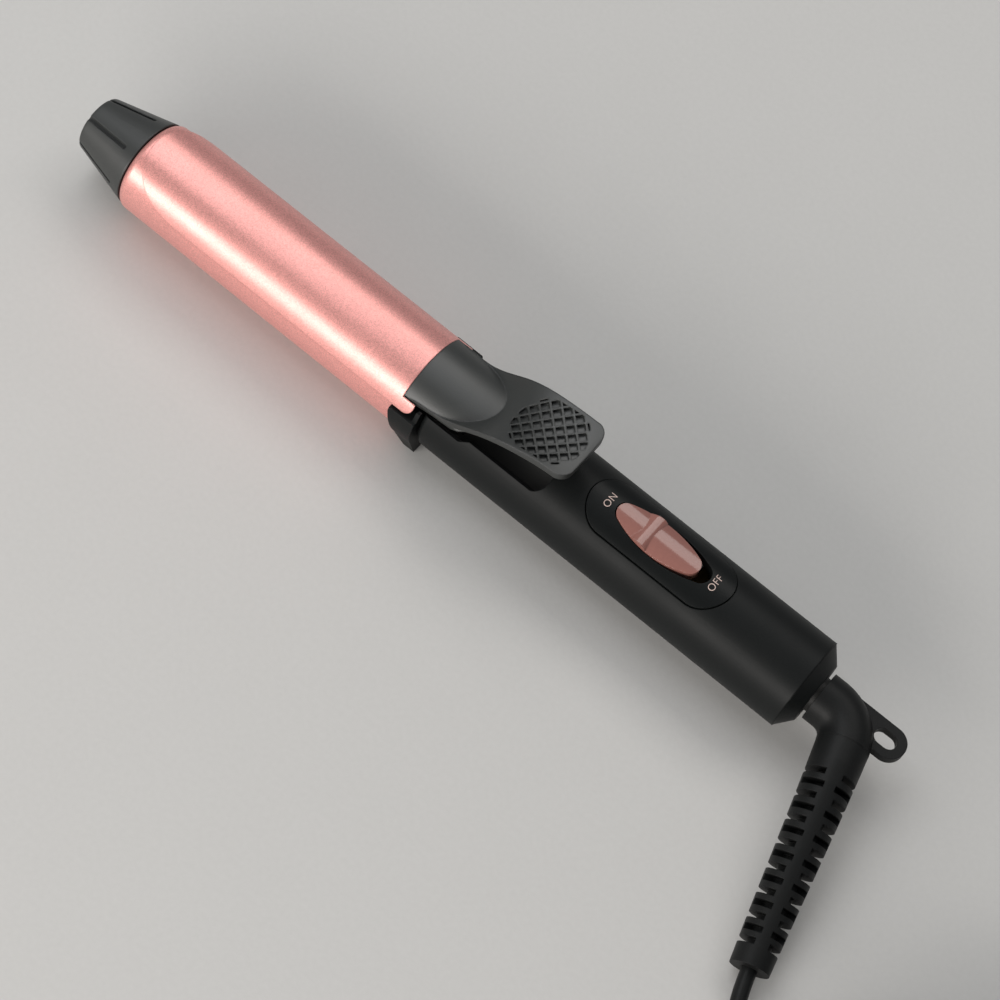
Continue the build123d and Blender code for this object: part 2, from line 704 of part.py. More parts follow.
name_and_write(clamp_plate.part, "clamp_plate")


# Thumb lever: a cylindrical saddle over the tongue, and a dished ramp that rises out of it
saddle_inner = clamp_inner - SEAT_FIT / 2
saddle_outer = saddle_inner + LEVER_SKIN


def lever_section(x, centre_height, dish, half_width, drop, base):
    """Face across the ramp at station x: a dished top, and a bottom that follows it or is flat."""
    with BuildSketch(section(x)) as face:
        with BuildLine():
            upper = ThreePointArc(
                (-half_width, centre_height + dish - drop),
                (0, centre_height - drop),
                (half_width, centre_height + dish - drop),
            )
            if base is None:
                lower = ThreePointArc(
                    (-half_width, centre_height + dish - LEVER_THICK),
                    (0, centre_height - LEVER_THICK),
                    (half_width, centre_height + dish - LEVER_THICK),
                )
            else:
                lower = Line((-half_width, base), (half_width, base))
            Line(upper @ 0, lower @ 0)
            Line(upper @ 1, lower @ 1)
        make_face()
    return face.sketch


with BuildPart() as under_ramp:
    for station, height, dish, width in LEVER_LINE:
        add(lever_section(station, height, dish, width + 2, LEVER_THICK, -20))
    loft()

with BuildPart() as lever_saddle:
    with BuildSketch(section(LEVER_FRONT)):
        ring_sector(saddle_inner, saddle_outer, 90, 2 * LEVER_FRONT_ANGLE)
    extrude(amount=SADDLE_REAR - LEVER_FRONT)
    with BuildSketch(plan(0)):
        with BuildLine():
            left_edge = [(station, width) for station, height, dish, width in LEVER_LINE]
            right_edge = [(station, -width) for station, width in reversed(left_edge)]
            Polyline(*left_edge, *right_edge, close=True)
        make_face()
    extrude(amount=2 * HANDLE_R, mode=Mode.INTERSECT)
    add(under_ramp.part, mode=Mode.SUBTRACT)

# Plan outline with round rear corners
with BuildPart() as lever_plan:
    with BuildSketch(plan(0)) as plan_outline:
        with Locations((LEVER_FRONT, 0)):
            Rectangle(LEVER_REAR - LEVER_FRONT, 2 * LEVER_HALF_WIDTH, align=(Align.MIN, Align.CENTER))
        fillet(plan_outline.vertices().group_by(Axis.X)[-1], LEVER_CORNER_R)
        with Locations((LEVER_FRONT, 0)):
            square_length = LEVER_REAR - LEVER_FRONT - LEVER_CORNER_R
            Rectangle(square_length, 4 * LEVER_HALF_WIDTH, align=(Align.MIN, Align.CENTER))
    extrude(amount=2 * HANDLE_R)

# Thumb pad: a waffle of square pockets, cut off by the pad's oval outline
with BuildSketch(plan(0)) as pad_cells:
    with Locations(Location((PAD_X, 0), 45)):
        with GridLocations(PAD_PITCH, PAD_PITCH, PAD_COUNT, PAD_COUNT):
            Rectangle(PAD_PITCH - PAD_RIB, PAD_PITCH - PAD_RIB)
    with Locations((PAD_X, 0)):
        Circle(PAD_R, mode=Mode.INTERSECT)
        Rectangle(2 * PAD_R, 2 * PAD_HALF_WIDTH, mode=Mode.INTERSECT)

with BuildPart() as pad_floor:
    for station, height, dish, width in LEVER_LINE:
        add(lever_section(station, height, dish, width + 2, PAD_DEPTH, -20))
    loft()

with BuildPart() as pad_pockets:
    for cell in pad_cells.sketch.faces():
        if cell.area > PAD_LEAST_CELL:
            extrude(cell, amount=2 * HANDLE_R)
    add(pad_floor.part, mode=Mode.SUBTRACT)

with BuildPart() as clamp_lever:
    for station, height, dish, width in LEVER_LINE:
        add(lever_section(station, height, dish, width, 0, None))
    loft()
    add(lever_plan.part, mode=Mode.INTERSECT)
    with BuildSketch(section(LEVER_FRONT)):
        Circle(saddle_inner)
    extrude(amount=TONGUE_REAR + 2 - LEVER_FRONT, mode=Mode.SUBTRACT)
    add(lever_saddle.part)
    add(pad_pockets.part, mode=Mode.SUBTRACT)
    for side in (1, -1):
        with BuildSketch(radial(RIVET_X, side * RIVET_ANGLE, saddle_inner + RIVET_DEPTH)):
            Circle(RIVET_R + RUN_FIT)
        extrude(amount=-3, mode=Mode.SUBTRACT)
name_and_write(clamp_lever.part, "clamp_lever")

# Rivets that hold the lever on the tongue
with BuildPart() as lever_rivets:
    for side in (1, -1):
        with BuildSketch(radial(RIVET_X, side * RIVET_ANGLE, saddle_inner + RIVET_DEPTH)):
            Circle(RIVET_R)
        extrude(amount=tongue_inner - SEAT_FIT - RIVET_HEAD_THICK - saddle_inner - RIVET_DEPTH)
        with BuildSketch(radial(RIVET_X, side * RIVET_ANGLE, tongue_inner - 1.5 * SEAT_FIT)):
            Circle(RIVET_HEAD_R)
        extrude(amount=-RIVET_HEAD_THICK)
name_and_write(lever_rivets.part, "lever_rivets")


# Arcs in space, two to each step, through points with given directions
def biarcs(points, tangents):
    """Pairs of arcs that join the points and meet each one along its tangent."""
    for (start, first), (end, last) in zip(zip(points, tangents), zip(points[1:], tangents[1:])):
        chord = end - start
        both = first + last
        spread = 2 * (1 - first.dot(last))
        reach = chord.dot(both)
        if spread < 1e-9:
            length = chord.dot(chord) / (4 * chord.dot(last))
        else:
            length = (sqrt(reach * reach + spread * chord.dot(chord)) - reach) / spread
        middle = (start + end + (first - last) * length) * 0.5
        heading = (end - last * length - start - first * length).normalized()
        for here, there, along in ((start, middle, first), (middle, end, heading)):
            if (there - here).normalized().cross(along).length < 1e-6:
                Line(here, there)
            else:
                TangentArc(here, there, tangent=along)


def tangent_at(curve, at, step=1e-3):
    return (curve(at + step) - curve(at - step)).normalized()


# Clamp spring: a torsion coil round the pin, one leg on the well floor and one up to the tongue
spring_turns = SPRING_TURNS + SPRING_LEG_TURN


def spring_point(turn):
    angle = 2 * pi * turn
    return Vector(
        PIVOT_X - SPRING_COIL_R * sin(angle),
        SPRING_PITCH * (turn - spring_turns / 2),
        STAND_HEIGHT + PIVOT_HEIGHT - SPRING_COIL_R * cos(angle),
    )


with BuildPart() as clamp_spring:
    with BuildLine() as spring_path:
        turns = [index * spring_turns / (4 * SPRING_TURNS) for index in range(4 * SPRING_TURNS + 1)]
        marks = [spring_point(turn) for turn in turns]
        headings = [tangent_at(spring_point, turn) for turn in turns]
        Line(marks[0] - headings[0] * SPRING_LOWER_LEG, marks[0])
        biarcs(marks, headings)
        Line(marks[-1], marks[-1] + headings[-1] * SPRING_UPPER_LEG)
    with BuildSketch(Plane(origin=spring_path.line @ 0, z_dir=spring_path.line % 0)):
        Circle(SPRING_WIRE_R)
    sweep(path=spring_path.line)
name_and_write(clamp_spring.part, "clamp_spring")

# Handle shell: one tube with a thumb well and a seat for the switch panel
panel_length = PANEL_REAR - PANEL_FRONT
panel_centre = (PANEL_REAR + PANEL_FRONT) / 2
well_front_half = HANDLE_R * sin(radians(WELL_FRONT_ANGLE))
well_rear_half = HANDLE_R * sin(radians(WELL_REAR_ANGLE))
with BuildPart() as well_cut:
    with BuildSketch(section(HANDLE_FRONT - 1)):
        sector(WELL_FRONT_ANGLE, HANDLE_R + 1)
    extrude(amount=WELL_JOG_REAR - HANDLE_FRONT + 1)
    with BuildSketch(section(WELL_JOG_REAR)):
        sector(WELL_REAR_ANGLE, HANDLE_R + 1)
    extrude(amount=WELL_REAR - WELL_JOG_REAR)
    with BuildSketch(plan(0)) as well_plan:
        with BuildLine():
            Polyline(
                (HANDLE_FRONT - 1, well_front_half),
                (WELL_JOG_FRONT, well_front_half),
                (WELL_JOG_REAR, well_rear_half),
                (WELL_REAR, well_rear_half),
                (WELL_REAR, -well_rear_half),
                (WELL_JOG_REAR, -well_rear_half),
                (WELL_JOG_FRONT, -well_front_half),
                (HANDLE_FRONT - 1, -well_front_half),
                close=True,
            )
        make_face()
        fillet(well_plan.vertices().group_by(Axis.X)[-1], WELL_CORNER_R)
    extrude(amount=HANDLE_R + 1, mode=Mode.INTERSECT)

with BuildPart() as handle_shell:
    with BuildSketch(section(HANDLE_FRONT)):
        Circle(HANDLE_R)
    extrude(amount=HANDLE_REAR - HANDLE_FRONT)
    fillet(handle_shell.edges().group_by(Axis.X)[0], HANDLE_FRONT_FILLET)
    with BuildSketch(section(HANDLE_FRONT)):
        Circle(handle_bore)
    extrude(amount=HANDLE_REAR - HANDLE_FRONT, mode=Mode.SUBTRACT)
    add(well_cut.part, mode=Mode.SUBTRACT)
    with BuildSketch(plan(0)):
        with Locations((panel_centre, 0)):
            SlotOverall(panel_length - 2 * PANEL_LIP, PANEL_WIDTH - 2 * PANEL_LIP)
    extrude(amount=HANDLE_R + 1, mode=Mode.SUBTRACT)
    with BuildPart(mode=Mode.PRIVATE) as panel_seat:
        with BuildSketch(plan(0)):
            with Locations((panel_centre, 0)):
                SlotOverall(panel_length + 2 * PANEL_GROOVE, PANEL_WIDTH + 2 * PANEL_GROOVE)
        extrude(amount=HANDLE_R + 1)
        with BuildSketch(section(PANEL_FRONT - 1)):
            Circle(HANDLE_R + 1)
            Circle(HANDLE_R - PANEL_FLANGE, mode=Mode.SUBTRACT)
        extrude(amount=panel_length + 2, mode=Mode.INTERSECT)
    add(panel_seat.part, mode=Mode.SUBTRACT)
name_and_write(handle_shell.part, "handle_shell")

# Handle core: an inner cradle with the well floor, a seat for the neck and bosses for the board
core_r = handle_bore - SEAT_FIT
core_bore = CORE_BORE_R
core_screw_seat = core_r - SEAT_FIT
floor_rear = WELL_REAR + 2.0
with BuildPart() as handle_core:
    with BuildSketch(section(CORE_FRONT)):
        Circle(core_r)
        Circle(core_bore, mode=Mode.SUBTRACT)
    extrude(amount=CORE_REAR - CORE_FRONT)
    with BuildSketch(section(NECK_REAR + SEAT_FIT)):
        with Locations((0, WELL_FLOOR - FLOOR_THICK / 2)):
            Rectangle(2 * core_bore, FLOOR_THICK)
    extrude(amount=floor_rear - NECK_REAR - SEAT_FIT)
    with BuildSketch(section(floor_rear - FLOOR_THICK)):
        Circle(core_r)
        with Locations((0, WELL_FLOOR - FLOOR_THICK - core_r)):
            Rectangle(2 * core_r, 2 * core_r, mode=Mode.SUBTRACT)
    extrude(amount=FLOOR_THICK)
    with BuildSketch(SIDE):
        with BuildLine():
            Polyline(
                (CORE_FRONT, WELL_FLOOR),
                (floor_rear - FLOOR_THICK, WELL_FLOOR),
                (floor_rear - FLOOR_THICK, core_r + 1),
                (CORE_FRONT, core_r + 1),
                close=True,
            )
        make_face()
        with BuildLine():
            Polyline(
                (floor_rear, board_base),
                (CORE_REAR, board_base),
                (CORE_REAR, core_r + 1),
                (floor_rear, core_r + 1),
                close=True,
            )
        make_face()
    extrude(amount=core_r + 1, both=True, mode=Mode.SUBTRACT)
    for station in BOARD_SCREW_STATIONS:
        with BuildSketch(plan(board_base)):
            with Locations((station, 0)):
                Circle(BOARD_BOSS_R)
        extrude(amount=-(core_bore + CORE_WALL / 2))
        with BuildSketch(plan(board_base)):
            with Locations((station, 0)):
                Circle(BOARD_SCREW_R)
        extrude(amount=-core_bore / 2, mode=Mode.SUBTRACT)
    # Block that carries the brush contacts
    with BuildSketch(plan(BRUSH_BLOCK_TOP)):
        block_length = SLIP_RING_STATIONS[1] - SLIP_RING_STATIONS[0] + 2 * BRUSH_WIDTH + 1
        with Locations((sum(SLIP_RING_STATIONS) / 2, 0)):
            Rectangle(block_length, 2 * BRUSH_BLOCK_HALF)
    extrude(amount=-BRUSH_BLOCK_TOP - core_bore - CORE_WALL / 2)
    for side in (1, -1):
        with BuildSketch(radial(CORE_SCREW_X, side * CORE_SCREW_ANGLE, core_r + 1)):
            Circle(CORE_SCREW_HEAD_R + SEAT_FIT)
        extrude(amount=-1 - CORE_WALL / 2, mode=Mode.SUBTRACT)
        with BuildSketch(radial(CORE_SCREW_X, side * CORE_SCREW_ANGLE, core_r + 1)):
            Circle(CORE_SCREW_R)
        extrude(amount=-1 - CORE_WALL - SEAT_FIT, mode=Mode.SUBTRACT)
name_and_write(handle_core.part, "handle_core")

with BuildPart() as core_screws:
    for side in (1, -1):
        with BuildSketch(radial(CORE_SCREW_X, side * CORE_SCREW_ANGLE, core_screw_seat)):
            Circle(CORE_SCREW_HEAD_R)
        extrude(amount=core_r - CORE_WALL / 2 - core_screw_seat)
        with BuildSketch(radial(CORE_SCREW_X, side * CORE_SCREW_ANGLE, core_r - CORE_WALL / 2)):
            Circle(CORE_SCREW_R)
        extrude(amount=WIRE_BORE_R + 1 - core_r + CORE_WALL / 2)
name_and_write(core_screws.part, "core_screws")

# Switch panel: an obround cover that follows the handle, with a leaf-shaped window
button_length = BUTTON_REAR - BUTTON_FRONT
button_centre = (BUTTON_REAR + BUTTON_FRONT) / 2
window_length = button_length + SWITCH_TRAVEL + 2 * BUTTON_CLEARANCE
window_centre = button_centre + SWITCH_TRAVEL / 2
window_width = BUTTON_WIDTH + 2 * BUTTON_CLEARANCE


def leaf(centre, length, width):
    """Sketch face: a long leaf with round ends."""
    end_r = width * 0.3
    reach = length / 2 - end_r
    side_r = (reach * reach + width * width / 4 - end_r * end_r) / (width - 2 * end_r)
    with BuildLine(Plane.XY) as boundary:
        for side in (1, -1):
            middle = Vector(centre, side * (width / 2 - side_r))
            ends = []
            for end in (-1, 1):
                hub = Vector(centre + end * reach, 0)
                ends.append(hub + (hub - middle).normalized() * end_r)
            ThreePointArc(ends[0], (centre, side * width / 2), ends[1])
        for end in (-1, 1):
            hub = Vector(centre + end * reach, 0)
            upper = hub + (hub - Vector(centre, width / 2 - side_r)).normalized() * end_r
            ThreePointArc(upper, hub + Vector(end * end_r, 0), (upper.X, -upper.Y))
    return make_face(boundary.edges())


with BuildPart() as switch_panel:
    with BuildSketch(plan(PANEL_UNDERSIDE)):
        with Locations((panel_centre, 0)):
            SlotOverall(panel_length, PANEL_WIDTH)
    extrude(amount=HANDLE_R)
    with BuildSketch(section(PANEL_FRONT)):
        Circle(HANDLE_R + PANEL_PROUD)
        Circle(HANDLE_R - PANEL_FLANGE + RUN_FIT, mode=Mode.SUBTRACT)
    extrude(amount=panel_length, mode=Mode.INTERSECT)
    with BuildSketch(plan(PANEL_UNDERSIDE)):
        with Locations((panel_centre, 0)):
            panel_inset = 2 * PANEL_LIP + 2 * SEAT_FIT
            SlotOverall(panel_length - panel_inset, PANEL_WIDTH - panel_inset)
    extrude(amount=sqrt(HANDLE_R ** 2 - (PANEL_WIDTH / 2) ** 2) - PANEL_UNDERSIDE + PANEL_FLANGE)
    with BuildSketch(plan(0)):
        leaf(window_centre, window_length, window_width)
    extrude(amount=HANDLE_R + 1, mode=Mode.SUBTRACT)
name_and_write(switch_panel.part, "switch_panel")

# Sliding button: glossy leaf with a finger ridge, on a slider under the panel
slider_top = PANEL_UNDERSIDE - SLIDER_GAP
with BuildPart() as switch_button:
    with BuildSketch(section(BUTTON_FRONT)):
        Circle(HANDLE_R + BUTTON_PROUD)
    extrude(amount=button_length)
    with BuildSketch(SIDE):
        with BuildLine():
            ridge_base = HANDLE_R + BUTTON_PROUD - 1.0
            crest = HANDLE_R + BUTTON_PROUD + BUTTON_RIDGE
            ridge = Spline(
                (BUTTON_RIDGE_X - BUTTON_RIDGE_LENGTH, ridge_base),
                (BUTTON_RIDGE_X - BUTTON_RIDGE_LENGTH / 2, ridge_base + 1.15),
                (BUTTON_RIDGE_X, crest),
                (BUTTON_RIDGE_X + BUTTON_RIDGE_LENGTH / 3, ridge_base + 0.9),
                (BUTTON_RIDGE_X + BUTTON_RIDGE_LENGTH / 2, ridge_base),
            )
            Line(ridge @ 1, ridge @ 0)
        make_face()
    extrude(amount=BUTTON_WIDTH, both=True)
    with BuildSketch(plan(slider_top)):
        leaf(button_centre, button_length, BUTTON_WIDTH)
    extrude(amount=HANDLE_R, mode=Mode.INTERSECT)
name_and_write(switch_button.part, "switch_button")

switch_body_top = slider_top - SLIDER_THICK - SLIDER_GAP
switch_base = board_base + BOARD_THICK
with BuildPart() as switch_slider:
    with BuildSketch(plan(slider_top)):
        with Locations((button_centre, 0)):
            Rectangle(SLIDER_LENGTH, SLIDER_WIDTH)
    extrude(amount=-SLIDER_THICK)
    with BuildSketch(plan(slider_top - SLIDER_THICK)):
        with Locations((button_centre, 0)):
            Rectangle(ACTUATOR_SIZE, ACTUATOR_SIZE)
    extrude(amount=-SLIDER_GAP - ACTUATOR_SIZE)
name_and_write(switch_slider.part, "switch_slider")

with BuildPart() as switch_body:
    with BuildSketch(plan(switch_base)):
        with Locations((button_centre, 0)):
            Rectangle(SWITCH_BODY_LENGTH, SWITCH_BODY_WIDTH)
    extrude(amount=switch_body_top - switch_base)
    with BuildSketch(plan(switch_body_top)):
        with Locations((button_centre + SWITCH_TRAVEL / 2, 0)):
            Rectangle(ACTUATOR_SIZE + SWITCH_TRAVEL + 2 * SEAT_FIT, ACTUATOR_SIZE + 2 * SEAT_FIT)
    extrude(amount=-ACTUATOR_SIZE - SEAT_FIT, mode=Mode.SUBTRACT)
name_and_write(switch_body.part, "switch_body")

# Switch board with the switch's terminals and two screws
with BuildPart() as switch_board:
    with BuildSketch(plan(board_base)) as board_plan:
        with Locations(((BOARD_FRONT + BOARD_REAR) / 2, 0)):
            Rectangle(BOARD_REAR - BOARD_FRONT, BOARD_WIDTH)
        fillet(board_plan.vertices(), BOARD_CORNER_R)
        with Locations([(station, 0) for station in BOARD_SCREW_STATIONS]):
            Circle(BOARD_SCREW_R, mode=Mode.SUBTRACT)
        with Locations([(station, 0) for station in TERMINAL_STATIONS]):
            Circle(TERMINAL_R, mode=Mode.SUBTRACT)
    extrude(amount=BOARD_THICK)
name_and_write(switch_board.part, "switch_board")

with BuildPart() as switch_terminals:
    with BuildSketch(plan(switch_base)):
        with Locations([(station, 0) for station in TERMINAL_STATIONS]):
            Circle(TERMINAL_R)
    extrude(amount=-BOARD_THICK - 1.5)
name_and_write(switch_terminals.part, "switch_terminals")

with BuildPart() as board_screws:
    with BuildSketch(plan(switch_base)):
        with Locations([(station, 0) for station in BOARD_SCREW_STATIONS]):
            Circle(BOARD_SCREW_HEAD_R)
    extrude(amount=1.0)
    with BuildSketch(plan(switch_base)):
        with Locations([(station, 0) for station in BOARD_SCREW_STATIONS]):
            Circle(BOARD_SCREW_R)
    extrude(amount=-BOARD_THICK - core_bore / 2 + SEAT_FIT)
name_and_write(board_screws.part, "board_screws")

# End cap: a short cone with a spigot in the handle and a chamber for the swivel's flange
cap_spigot_r = handle_bore - SEAT_FIT
with BuildPart() as end_cap:
    with BuildSketch(SIDE) as cap_profile:
        with BuildLine():
            Polyline(
                (CAP_SPIGOT_FRONT, CHAMBER_R),
                (CAP_SPIGOT_FRONT, cap_spigot_r),
                (HANDLE_REAR, cap_spigot_r),
                (HANDLE_REAR, CAP_FRONT_R),
                (CAP_REAR, CAP_REAR_R),
                (CAP_REAR, STEM_R + RUN_FIT),
                (CHAMBER_REAR, STEM_R + RUN_FIT),
                (CHAMBER_REAR, CHAMBER_R),
                close=True,
            )
        make_face()
        fillet(cap_profile.vertices().group_by(Axis.X)[-1].sort_by(Axis.Z)[-1], CAP_EDGE_R)
    revolve(axis=IRON_AXIS)
    for side in (1, -1):
        with BuildSketch(section(CAP_SPIGOT_FRONT)):
            with Locations((side * RETAINER_SCREW_Y, 0)):
                Circle(RETAINER_SCREW_R)
        extrude(amount=RETAINER_SCREW_DEPTH + SEAT_FIT, mode=Mode.SUBTRACT)
name_and_write(end_cap.part, "end_cap")

# Swivel retainer: a plate on the spigot with a ring that keeps the flange in its chamber
flange_rear = CHAMBER_REAR - RUN_FIT
flange_front = flange_rear - STEM_FLANGE_THICK
retainer_front = CAP_SPIGOT_FRONT - RETAINER_THICK
with BuildPart() as swivel_retainer:
    with BuildSketch(section(retainer_front)):
        Circle(cap_spigot_r)
        with Locations((RETAINER_SCREW_Y, 0), (-RETAINER_SCREW_Y, 0)):
            Circle(RETAINER_SCREW_R, mode=Mode.SUBTRACT)
    extrude(amount=RETAINER_THICK)
    with BuildSketch(section(CAP_SPIGOT_FRONT)):
        Circle(CHAMBER_R - SEAT_FIT)
    extrude(amount=flange_front - RUN_FIT - CAP_SPIGOT_FRONT)
    with BuildSketch(section(retainer_front)):
        Circle(STEM_RING_R + RUN_FIT)
    extrude(amount=flange_front - retainer_front, mode=Mode.SUBTRACT)
name_and_write(swivel_retainer.part, "swivel_retainer")

with BuildPart() as retainer_screws:
    for side in (1, -1):
        with BuildSketch(section(retainer_front)):
            with Locations((side * RETAINER_SCREW_Y, 0)):
                Circle(RETAINER_SCREW_HEAD_R)
        extrude(amount=-RETAINER_SCREW_HEAD_THICK)
        with BuildSketch(section(retainer_front)):
            with Locations((side * RETAINER_SCREW_Y, 0)):
                Circle(RETAINER_SCREW_R)
        extrude(amount=RETAINER_THICK + RETAINER_SCREW_DEPTH)
name_and_write(retainer_screws.part, "retainer_screws")

# Swivel stem: hollow, with a flange in the cap and a thinner front end for the slip rings
with BuildPart() as swivel_stem:
    with BuildSketch(section(STEM_FRONT)):
        Circle(STEM_RING_R)
    extrude(amount=flange_front - STEM_FRONT)
    with BuildSketch(section(flange_front)):
        Circle(STEM_FLANGE_R)
    extrude(amount=STEM_FLANGE_THICK)
    with BuildSketch(section(flange_rear)):
        Circle(STEM_R)
    extrude(amount=ELBOW_ROOT - flange_rear)
    with BuildSketch(section(STEM_FRONT)):
        Circle(STEM_BORE_R)
    extrude(amount=ELBOW_ROOT - STEM_FRONT, mode=Mode.SUBTRACT)
name_and_write(swivel_stem.part, "swivel_stem")

with BuildPart() as slip_rings:
    for station in SLIP_RING_STATIONS:
        with BuildSketch(section(station - SLIP_RING_WIDTH / 2)):
            Circle(SLIP_RING_R)
            Circle(STEM_RING_R, mode=Mode.SUBTRACT)
        extrude(amount=SLIP_RING_WIDTH)
name_and_write(slip_rings.part, "slip_rings")

# Brush contacts: bowed strips that stand on the core's block and touch the rings from below
with BuildPart() as brush_contacts:
    for station in SLIP_RING_STATIONS:
        with BuildSketch(section(station - BRUSH_WIDTH / 2)):
            with BuildLine():
                crown = -SLIP_RING_R - RUN_FIT
                foot = BRUSH_BLOCK_HALF - BRUSH_FOOT
                outer = ThreePointArc((-foot, BRUSH_BLOCK_TOP), (0, crown), (foot, BRUSH_BLOCK_TOP))
                inner_foot = foot - 2 * BRUSH_THICK
                inner = ThreePointArc(
                    (-inner_foot, BRUSH_BLOCK_TOP),
                    (0, crown - BRUSH_THICK),
                    (inner_foot, BRUSH_BLOCK_TOP),
                )
                Line(outer @ 0, inner @ 0)
                Line(outer @ 1, inner @ 1)
            make_face()
            for side in (1, -1):
                with Locations((side * (BRUSH_BLOCK_HALF - BRUSH_FOOT), BRUSH_BLOCK_TOP + BRUSH_THICK / 2)):
                    Rectangle(2 * BRUSH_FOOT, BRUSH_THICK)
        extrude(amount=BRUSH_WIDTH)
name_and_write(brush_contacts.part, "brush_contacts")

# Supply wires: from the brush contacts to the underside of the switch board
with BuildPart() as supply_wires:
    wire_high = STAND_HEIGHT + board_base - SUPPLY_WIRE_R
    wire_foot = STAND_HEIGHT + BRUSH_BLOCK_TOP + BRUSH_THICK
    for side, station in zip((1, -1), SLIP_RING_STATIONS):
        with BuildLine() as wire_path:
            FilletPolyline(
                (BOARD_REAR - SUPPLY_WIRE_LAP, side * SUPPLY_WIRE_Y, wire_high),
                (BOARD_REAR - SUPPLY_WIRE_R, side * SUPPLY_WIRE_Y, wire_high),
                (BOARD_REAR + SUPPLY_WIRE_DROP, side * SUPPLY_WIRE_Y, wire_foot),
                (station, side * SUPPLY_WIRE_Y, wire_foot),
                radius=SUPPLY_WIRE_BEND_R,
            )
        with BuildSketch(Plane(origin=wire_path.line @ 0, z_dir=(1, 0, 0))):
            Circle(SUPPLY_WIRE_R)
        sweep(path=wire_path.line)
name_and_write(supply_wires.part, "supply_wires")

# Swivel elbow: a bent tube with a flat hanging tab
elbow_corner = Vector(ELBOW_CORNER, 0, STAND_HEIGHT)
relief_heading = Vector(cos(radians(ELBOW_TURN)), -sin(radians(ELBOW_TURN)), 0)
relief_start = elbow_corner + relief_heading * ELBOW_TAIL
with BuildPart() as swivel_elbow:
    with BuildLine() as elbow_path:
        FilletPolyline((ELBOW_ROOT, 0, STAND_HEIGHT), elbow_corner, relief_start, radius=ELBOW_BEND_R)
    with BuildSketch(section(ELBOW_ROOT)):
        Circle(ELBOW_R)
    sweep(path=elbow_path.line)
    with BuildSketch(plan(-TAB_THICK / 2)) as tab_plan:
        with BuildLine():
            straight_end = TAB_END - TAB_HALF_WIDTH
            upper = Line((ELBOW_ROOT + 3, TAB_Y + TAB_HALF_WIDTH), (straight_end, TAB_Y + TAB_HALF_WIDTH))
            round_end = ThreePointArc(upper @ 1, (TAB_END, TAB_Y), (straight_end, TAB_Y - TAB_HALF_WIDTH))
            Polyline(
                round_end @ 1,
                (TAB_NOTCH_X, TAB_Y - TAB_HALF_WIDTH),
                (TAB_NOTCH_X, TAB_NOTCH_Y),
                (TAB_ROOT_X, TAB_ROOT_Y),
                (ELBOW_CORNER, -ELBOW_R / 2),
                (ELBOW_ROOT + 3, 0),
                upper @ 0,
            )
        make_face()
        with Locations((TAB_HOLE_X, TAB_Y)):
            SlotOverall(TAB_HOLE_LENGTH, TAB_HOLE_WIDTH, mode=Mode.SUBTRACT)
    extrude(amount=TAB_THICK)
    with BuildSketch(section(ELBOW_ROOT)):
        Circle(STEM_BORE_R)
    sweep(path=elbow_path.line, mode=Mode.SUBTRACT)
name_and_write(swivel_elbow.part, "swivel_elbow")

# Strain relief: a tapered sleeve that droops to the table, cut by slots so that it bends
relief_drop = STAND_HEIGHT - RELIEF_END_HEIGHT


def relief_point(u):
    drop = relief_drop * smooth(RELIEF_DROOP * u) / smooth(RELIEF_DROOP)
    return relief_start + relief_heading * (RELIEF_LENGTH * u) - Vector(0, 0, drop)


def relief_plane(u):
    """Across the sleeve, with local x level."""
    sideways = relief_heading.cross(Vector(0, 0, 1))
    return Plane(origin=relief_point(u), x_dir=sideways, z_dir=tangent_at(relief_point, u))


with BuildPart() as relief_gaps:
    for index in range(RELIEF_GAP_COUNT):
        before_end = RELIEF_END_RING + (RELIEF_GAP_COUNT - 1 - index) * RELIEF_GAP_PITCH
        middle = relief_plane(1 - before_end / RELIEF_LENGTH)
        with BuildSketch(middle.offset(-RELIEF_GAP_WIDTH / 2)):
            if index % 2 == 0:
                for half in range(2):
                    ring_sector(RELIEF_CORE_R, RELIEF_START_R + 1, 180 * half, RELIEF_LONG_SLOT)
            else:
                for quarter in range(4):
                    ring_sector(RELIEF_CORE_R, RELIEF_START_R + 1, 45 + 90 * quarter, RELIEF_SHORT_SLOT)
        extrude(amount=RELIEF_GAP_WIDTH)

with BuildPart() as strain_relief:
    for index in range(RELIEF_SECTIONS + 1):
        u = index / RELIEF_SECTIONS
        with BuildSketch(relief_plane(u)):
            Circle(RELIEF_START_R + (RELIEF_END_R - RELIEF_START_R) * u)
    loft(ruled=True)
    add(relief_gaps.part, mode=Mode.SUBTRACT)
    with BuildSketch(relief_plane(1)):
        Circle(CORD_R + RUN_FIT)
    extrude(amount=-CORD_TAKE_UP - RUN_FIT, mode=Mode.SUBTRACT)
name_and_write(strain_relief.part, "strain_relief")


def corner_radii(points):
    """Radius for each inner point of a cord's route: as large as its two runs allow."""
    radii = []
    for before, here, after in zip(points, points[1:], points[2:]):
        shorter = min((here - before).length, (after - here).length)
        turn = radians((here - before).get_angle(after - here))
        radii.append(0.45 * shorter / tan(turn / 2))
    return radii


def cord_tube(points):
    """Round tube along straight runs joined by tangent arcs."""
    radii = corner_radii(points)
    with BuildLine() as path:
        FilletPolyline(*points, radius=radii)
    with BuildSketch(Plane(origin=points[0], z_dir=points[1] - points[0])) as profile:
        Circle(CORD_R)
    sweep(profile.sketch, path=path.line)
    print("cord run", round(path.wires()[0].length, 1), "radii", [round(radius, 1) for radius in radii])


